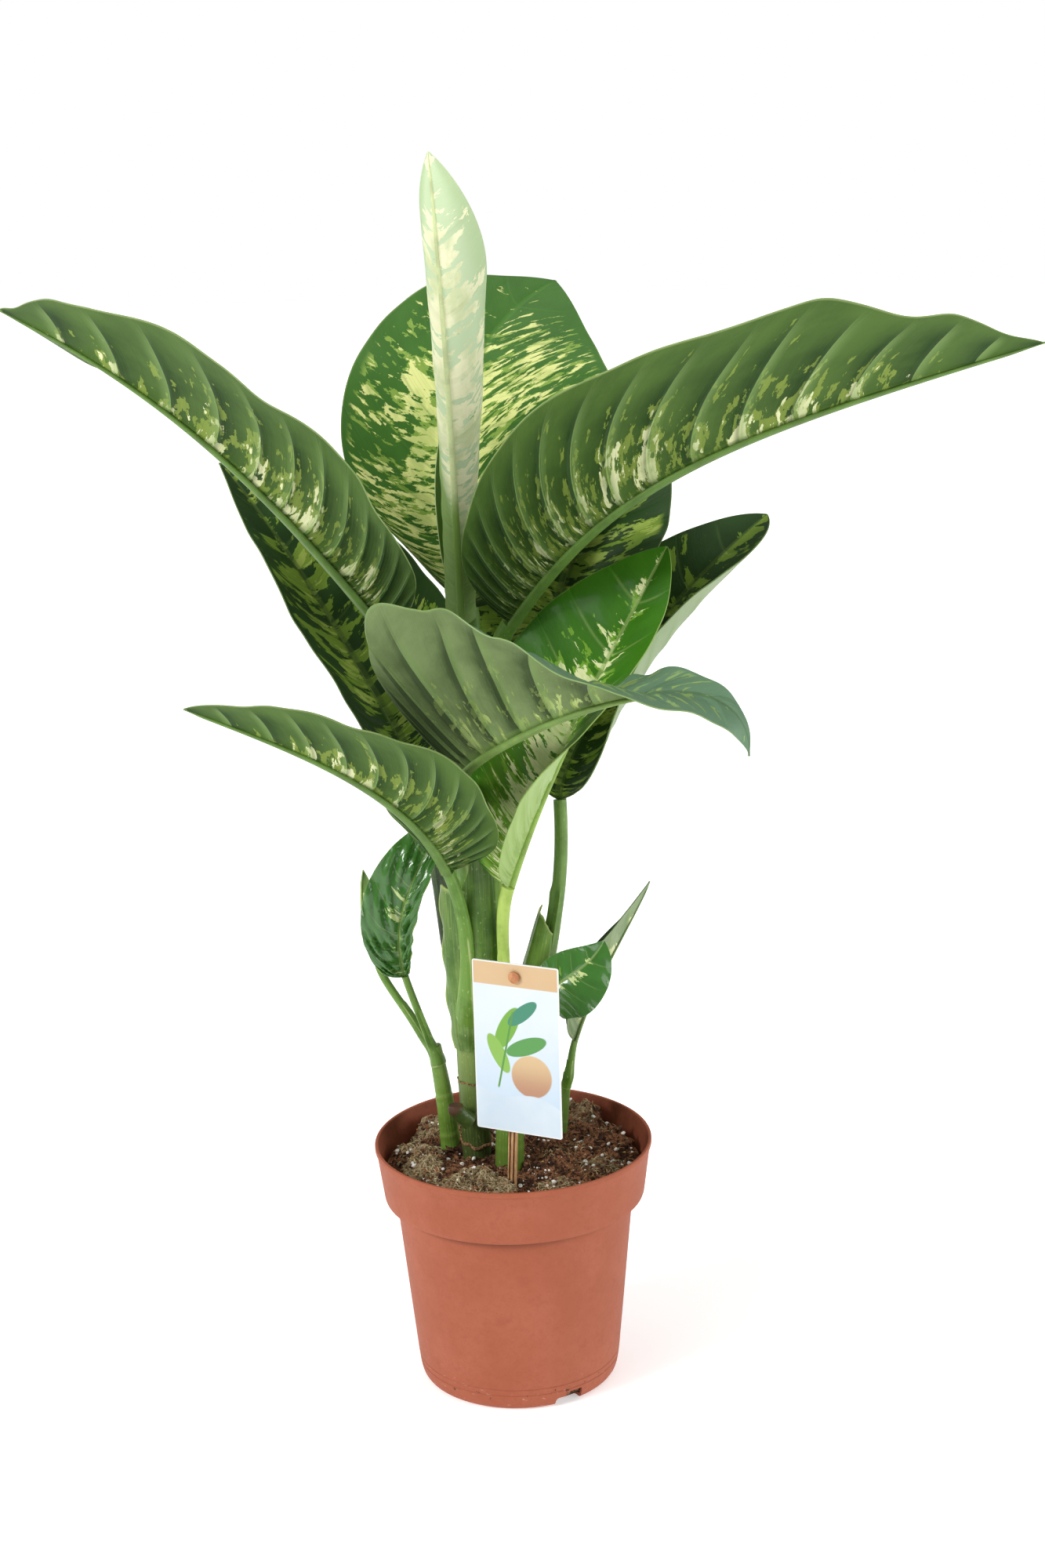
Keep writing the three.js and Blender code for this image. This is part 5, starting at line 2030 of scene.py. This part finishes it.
def stems() -> list[Stem]:
    """Returns the canes and shoots."""
    return [
        Stem(
            "stem_main",
            GreenStem("cane_main", (60, 76, 36), (118, 142, 68), (118, 144, 66), (86, 60, 36), (140, 300)),
            rings=(
                (146, 0.7, 0.9), (165, 0.5, 0.8), (188, 0.5, 0.8), (212, 0.6, 0.35), (232, 0.4, 0.5),
                (262, 0.4, 0.3),
            ),
            husks=((147, 0.8, 1.1), (188, 0.35, 0.4)),
            buds=(((-26, -5, 165), (-35, -8, 177), 5.4),),
        ),
        Stem(
            "stem_second",
            GreenStem(
                "cane_second", (84, 112, 40), (104, 138, 50), (120, 150, 66), (120, 140, 60), (130, 240),
            ),
            rings=((150, 0.3, 0.2), (176, 0.3, 0.2), (204, 0.3, 0.2)),
        ),
        Stem(
            "stem_left",
            GreenStem(
                "shoot_left", (112, 148, 58), (116, 152, 62), (116, 150, 66), (140, 156, 84), (130, 204),
            ),
            rings=((144, 0.3, 0.3), (170, 0.3, 0.2)),
        ),
        Stem(
            "stem_right",
            GreenStem(
                "shoot_right", (92, 122, 54), (98, 130, 58), (104, 136, 62), (130, 150, 80), (120, 182),
            ),
            rings=((148, 0.2, 0.3),),
        ),
    ]


def sheaths() -> list[Sheath]:
    """Returns the sheaths round the main cane."""
    return [
        Sheath(
            "left", (-25, 6, 209), (-27, -1, 302), (9.6, 11.6, 11.6), (188, 345), (313, 318, 296),
            ((92, 124, 54), (84, 120, 46), (74, 108, 42)), 300, seed=1.0, streaks=0.5,
        ),
        Sheath(
            "right", (10, -2, 232), (26, 2, 300), (8.5, 7.6, 4.6), (150, 390), (301, 288, 282),
            ((104, 138, 54), (100, 136, 50), (92, 126, 46)), 300, seed=4.2, flare=0.8,
        ),
        Sheath(
            "front", (-16, 0, 244), (-16, -8, 350), (11.5, 11.5, 9.5), (185, 365), (344, 352, 330),
            ((88, 124, 44), (78, 114, 38), (62, 94, 34)), 350, seed=2.6,
        ),
        Sheath(
            "inner", (-7, -4, 262), (-7, -6, 342), (4.6, 5.6, 5.2), (215, 385), (322, 336, 340),
            ((118, 154, 62), (112, 148, 60), (104, 140, 60)), 338, seed=5.1, flare=0.5,
        ),
    ]


def leaves() -> list[Leaf]:
    """Returns the fourteen leaves."""
    pale = LeafLook(
        green=(104, 148, 58), deep=(84, 128, 44), lime=(150, 180, 96), cream=(206, 218, 160),
        under_green=(206, 226, 184), under_deep=(204, 224, 184), under_lime=(150, 184, 104),
        under_cream=(255, 252, 212), under_cream_share=0.445, under_lime_share=0.535, under_fade=0.14,
        tip_fade=0.06, rib=(216, 228, 170), upper_rib=(200, 216, 150), margin=(170, 190, 130),
        cream_share=0.56, lime_share=0.56, fade=0.12, pleat_shade=0.15, under_pleat_shade=0.15, base=(134, 168, 84),
        base_reach=0.58, base_tilt=-12.0, base_fade=0.0, outer=(164, 192, 132), outer_weight=0.5,
    )
    # creamy's dark base tint is painted shade on the lower blade, where the leaves in front shade it
    creamy = LeafLook(
        green=(68, 114, 43), deep=(48, 90, 32), lime=(142, 172, 76), cream=(236, 238, 156),
        cream_share=0.48, lime_share=0.475, fade=0.12, upper_rib=(78, 126, 48), pleat_shade=0.2, tip_fade=0.16,
        slant=0.5, patchy=0.12, base=(30, 50, 22), base_reach=0.42, base_soft=0.7,
    )
    under = LeafLook()
    dark = LeafLook(
        green=(42, 72, 26), deep=(26, 50, 18), lime=(128, 158, 56), cream=(168, 186, 88),
        cream_share=0.55, lime_share=0.491, fade=0.1, scale=0.6, margin=(104, 126, 74),
        upper_rib=(84, 108, 50), rib=(110, 136, 76), under_green=(146, 164, 128),
        under_deep=(126, 146, 106), under_lime=(156, 172, 134), under_fade=0.4, tip_fade=0.03,
    )
    # bright's base tint is the base's own yellow-green, brightened as painted light coming through the blade
    bright = LeafLook(
        green=(64, 122, 24), deep=(44, 96, 18), lime=(132, 180, 58), cream=(250, 252, 196),
        cream_share=0.456, lime_share=0.465, fade=0.34, under_pleat_shade=0.2, coat=0.18,
        under_green=(160, 186, 116), under_deep=(146, 174, 100), under_lime=(140, 170, 92),
        under_cream_share=0.62, margin=(130, 160, 80), rib=(150, 182, 90), upper_rib=(160, 186, 110),
        base=(138, 186, 60), base_reach=0.8, base_soft=0.9, base_under=False, under_roughness=0.4,
    )
    glossy = LeafLook(
        green=(60, 112, 40), deep=(42, 86, 28), lime=(124, 168, 66), cream=(206, 218, 150),
        cream_share=0.56, lime_share=0.56, roughness=0.16, coat=1.0, under_green=(110, 144, 70),
        margin=(120, 150, 76), rib=(140, 170, 84), upper_rib=(130, 158, 88),
    )
    twisted = LeafLook(
        green=(102, 134, 104), deep=(84, 114, 86), lime=(146, 174, 104), cream=(140, 166, 90),
        cream_share=0.54, lime_share=0.51, fade=0.05, under_green=(120, 140, 90), under_deep=(58, 76, 40),
        under_lime=(138, 158, 84), under_cream=(176, 192, 118), under_cream_share=0.55,
        under_lime_share=0.53, under_pleat_shade=0.95, upper_rib=(84, 110, 72), rib=(118, 148, 74),
        margin=(130, 154, 98),
    )
    return [
        Leaf(
            "newest", pale, 1.0,
            stalk=((-21, 2, 385), (-21, 2, 410)), approach=25, radius=(6.4, 5.6, 4.6),
            rib=((-21, 2, 471), (-22, -3, 577), (-24, -23, 641), (-30, -4, 736)),
            width=(57, 32), round=0.55, sharp=0.85, facing=((0, 1, 0), (0.1, 1, 0.1)),
            lift=((14, 0, 5), (5, 5, 5)), curl=((310, 178, 80), (190, 225, 190)),
            wave=(0.8, 2, 0), lobe=7, rib_width=2.4, quilt=0.5, veins=12, ripple=0.2, slot=Slot.BLADE_PALE,
            stalk_colours=((130, 156, 86), (146, 172, 104), (186, 206, 150)),
        ),
        Leaf(
            "centre_back", creamy, 2.3,
            stalk=((-19, 8, 318), (-19, 12, 370)), approach=45, radius=(9, 6.5, 5),
            rib=((-16, 30, 476), (-22, 45, 540), (-40, 35, 625), (42, 160, 662)),
            width=(70, 102), round=0.72, sharp=1.0, facing=((0, -1, 0.1), (0.1, -0.6, 0.7)),
            lift=((15, 12, 10),) * 2, curl=((-10, -15, -20),) * 2,
            wave=(3, 3, 0), lobe=12, rib_width=4, quilt=0.9, sweep=2.5, bumped=-1, bumps=((0.1, -24, 0.14),),
        ),
        Leaf(
            "left_upper", under, 3.1,
            stalk=((-23, 0, 340), (-27, -6, 400)), radius=(9.5, 6.5, 5),
            rib=((-62, -28, 473), (-114, -65, 551), (-162, -101, 614), (-260, -66, 659)),
            width=(67, 72), round=0.65, sharp=0.8, facing=((0.45, 0.25, 0.85),),
            lift=((35, 30, 25), (35, 28, 2)), curl=((-15, -10, -10), (-20, -20, -20)),
            wave=(3, 3, 0), lobe=4, rib_width=4.5, veins=16, quilt=1.8, shingle=0.7, bumped=-1, rows=260,
            bumps=((0.96, -5, 0.03), (0.88, 4, 0.03), (0.65, 12, 0.09)),
        ),
        Leaf(
            "right_upper", under, 4.4,
            stalk=((-17, -2, 345), (-14, -6, 400)), radius=(9.5, 6.5, 5),
            rib=((8, -20, 475), (65, -75, 563), (120, -115, 585), (301, -60, 626)),
            width=(84, 86), round=0.68, sharp=1.0, facing=((-0.3, 0.4, 0.87),),
            lift=((45, 45, 35), (35, 35, 25)), curl=((-15, -20, -20), (-15, -10, -10)),
            wave=(3, 3, 1), lobe=4, rib_width=4.5, veins=19, quilt=1.8, shingle=0.7, rows=280,
            bumps=((0.56, -3, 0.05), (0.655, 4, 0.035), (0.76, -4, 0.05), (0.83, 2, 0.03), (0.93, -5, 0.05)),
        ),
        Leaf(
            "left_behind", dark, 5.2,
            stalk=((-27, 9, 232), (-35, 20, 287)), approach=14, radius=(9.5, 6.5, 5),
            rib=((-53, 40, 379), (-75, 42, 421), (-125, 55, 517), (-168, 92, 560)),
            width=(45, 72), round=0.55, sharp=1.0, facing=((0.35, -0.75, 0.55), (0.35, -0.65, 0.65)),
            lift=((35, 32, 30), (15, 15, 15)), curl=((10, 10, 0), (-10, -10, -10)),
            wave=(2.5, 3, 2), lobe=12, rib_width=4,
            stalk_colours=((52, 76, 36), (58, 84, 40), (84, 110, 56)),
        ),
        Leaf(
            "right_behind", dark, 6.7,
            stalk=((-17, 6, 335), (-8, 16, 390)), radius=(8.5, 6, 5),
            rib=((30, 32, 456), (42, 34, 502), (60, 51, 535), (92, 108, 590)),
            width=(74, 53), round=0.6, facing=((-0.3, -0.85, 0.45), (-0.3, -0.7, 0.6)),
            lift=((15, 12, 10),) * 2, curl=((-10, -10, -10),) * 2,
            wave=(2.5, 3, 1), lobe=34, rib_width=4,
            stalk_colours=((70, 96, 46), (76, 102, 50), (90, 116, 60)),
        ),
        Leaf(
            "right_lower", dark, 7.9, stem="stem_second",
            stalk=((12, 0, 225), (33, 4, 290)), radius=(6.6, 4.2, 4.0),
            rib=((34, 8, 363), (33, 12, 392), (92, 14, 476), (163, 50, 524)),
            width=(46, 62), round=0.7, sharp=0.8, facing=((-0.5, -0.75, 0.45), (-0.5, -0.65, 0.55)),
            lift=((20, 15, 15),) * 2, curl=((-10, -10, -10), (34, 74, 62)),
            wave=(1, 3, 1), lobe=2, rib_width=3.4, quilt=0.6, ripple=0.2, shingle=0.0,
            stalk_colours=((100, 134, 64), (96, 130, 58), (104, 138, 64)),
        ),
        Leaf(
            "front_bright", bright, 8.6, stem="stem_second",
            stalk=((1, -10, 205), (1, -13, 250)), approach=30, radius=(8, 3.4, 4),
            rib=((2, -20, 318), (25, -35, 390), (58, -50, 449), (98, -20, 516)),
            width=(58, 38), round=0.7, sharp=0.8, facing=((-0.3, -0.85, 0.4), (-0.3, -0.8, 0.5)),
            lift=((25, 15, 10), (75, 55, 10)), curl=((-10, -10, -10), (95, 10, -20)),
            wave=(2, 3, 0), lobe=4, rib_width=3.4, slot=Slot.BLADE_BRIGHT,
            stalk_colours=((156, 184, 78), (168, 196, 90), (176, 202, 100)), quilt=1.9,
        ),
        Leaf(
            "front_twisted", twisted, 9.4,
            stalk=((-20, -3, 275), (-18, -8, 330)), approach=34, radius=(9, 6, 4.8),
            rib=((-22, -42, 393), (-12, -97, 423), (132, -152, 497), (133, -125, 417)),
            width=(34, 102), round=0.66, sharp=1.4,
            facing=((-0.3, 0.2, 0.85), (-0.2, 0.3, 0.9), (0, -0.3, 0.9), (0.1, -0.6, 0.8)),
            lift=((45, 20, 10), (63, 50, -5)), curl=((-10, -20, -10), (-20, -20, -10)),
            wave=(4.5, 3, 0), lobe=0, rib_width=4.5, veins=12, quilt=1.8, ripple=2.6, shingle=0.9, rows=240,
            bumps=(
                (0.09, -8, 0.06), (0.26, 13, 0.05), (0.36, -7, 0.06), (0.44, 2, 0.03), (0.55, 3, 0.03),
                (0.8, -6, 0.08),
            ),
        ),
        Leaf(
            "left_lower", under, 10.2,
            stalk=((-28, -2, 212), (-20, -12, 265)), approach=36, radius=(9.6, 4.4, 3.6),
            rib=((-33, -30, 331), (-51, -64, 388), (-107, -83, 416), (-176, -60, 438)),
            width=(50, 48), round=0.55, facing=((0.3, 0.45, 0.85),),
            lift=((30, 25, 20), (28, 25, 15)), curl=((-15, -10, -10), (-10, -10, -10)),
            wave=(2, 3, 1), lobe=6, rib_width=3.8, veins=15, quilt=1.5, shingle=0.6, rows=240,
            bumped=-1, bumps=((0.35, 9, 0.22),),
        ),
        Leaf(
            "shoot_left_outer", glossy, 11.3, stem="stem_left",
            stalk=((-46, 24, 192), (-58, 26, 222)), approach=14, radius=(3.4, 2.6, 2.4),
            rib=((-80, 30, 255), (-87, 35, 280), (-91, 35, 287), (-88, 46, 312)),
            width=(14, 16), round=0.55, facing=((0.5, 0.8, 0.2),),
            lift=((20, 15, 15), (60, 50, 40)), curl=((-10, -10, -10), (30, 20, 10)),
            wave=(1, 3, 1), lobe=2, rib_width=1.8, veins=8, quilt=0.8, slot=Slot.BLADE_BRIGHT,
            rows=90, half_columns=14,
        ),
        Leaf(
            "shoot_left_inner", glossy, 12.1, stem="stem_left",
            stalk=((-45, 22, 192), (-52, 20, 216)), approach=14, radius=(3.2, 2.4, 2.2),
            rib=((-63, 12, 254), (-71, 0, 293), (-56, -6, 318), (-36, 16, 350)),
            width=(25, 12), round=0.6, sharp=0.7, facing=((0.1, -0.9, 0.2), (0.1, -0.9, 0.3)),
            lift=((10, 10, 10), (50, 45, 30)), curl=((-10, -20, -20), (0, 0, 0)),
            wave=(1, 3, 1), lobe=2, rib_width=2, veins=9, quilt=1.6, slot=Slot.BLADE_BRIGHT,
            rows=120, half_columns=18, crumple=2.4,
        ),
        Leaf(
            "shoot_right_front", glossy, 13.8, stem="stem_second",
            stalk=((3, -8, 205), (10, -14, 222)), approach=12, radius=(3.4, 2.4, 2),
            rib=((22, -14, 245), (30, -20, 262), (47, -20, 262), (58, -8, 279)),
            width=(16, 25), round=0.5, facing=((-0.2, -0.9, 0.35), (0.2, -0.9, 0.35)),
            lift=((10, 10, 10), (15, 10, 10)), curl=((-10, -10, -10), (-10, -20, -30)),
            wave=(0.8, 3, 1), lobe=5, rib_width=1.8, veins=7, quilt=0.8, rows=84, half_columns=14,
        ),
        Leaf(
            "shoot_right_back", dark, 14.5, stem="stem_right",
            stalk=((34, 28, 172), (37, 27, 186)), approach=8, radius=(4.4, 2.6, 2),
            rib=((40, 26, 204), (53, 29, 243), (78, 35, 278), (89, 44, 300)),
            width=(22, 14), round=0.5, facing=((-0.95, 0.3, 0.3),),
            lift=((50, 45, 20),) * 2, curl=((0, 0, 0),) * 2,
            wave=(0.4, 2, 1), lobe=0, rib_width=1.6, veins=8, quilt=0.3, ripple=0.1, rows=90, half_columns=14,
        ),
    ]


def main() -> None:
    """Builds the studio and every piece of the plant."""
    logging.basicConfig(level=logging.INFO, format="%(name)s: %(message)s")
    Studio().build()
    Pot().build()
    Soil().build()
    for stem in stems():
        stem.build()
    for sheath in sheaths():
        sheath.build()
    for leaf in leaves():
        leaf.build_stalk()
        leaf.build_blade()
    Label().build()


if __name__ == "__main__":
    main()
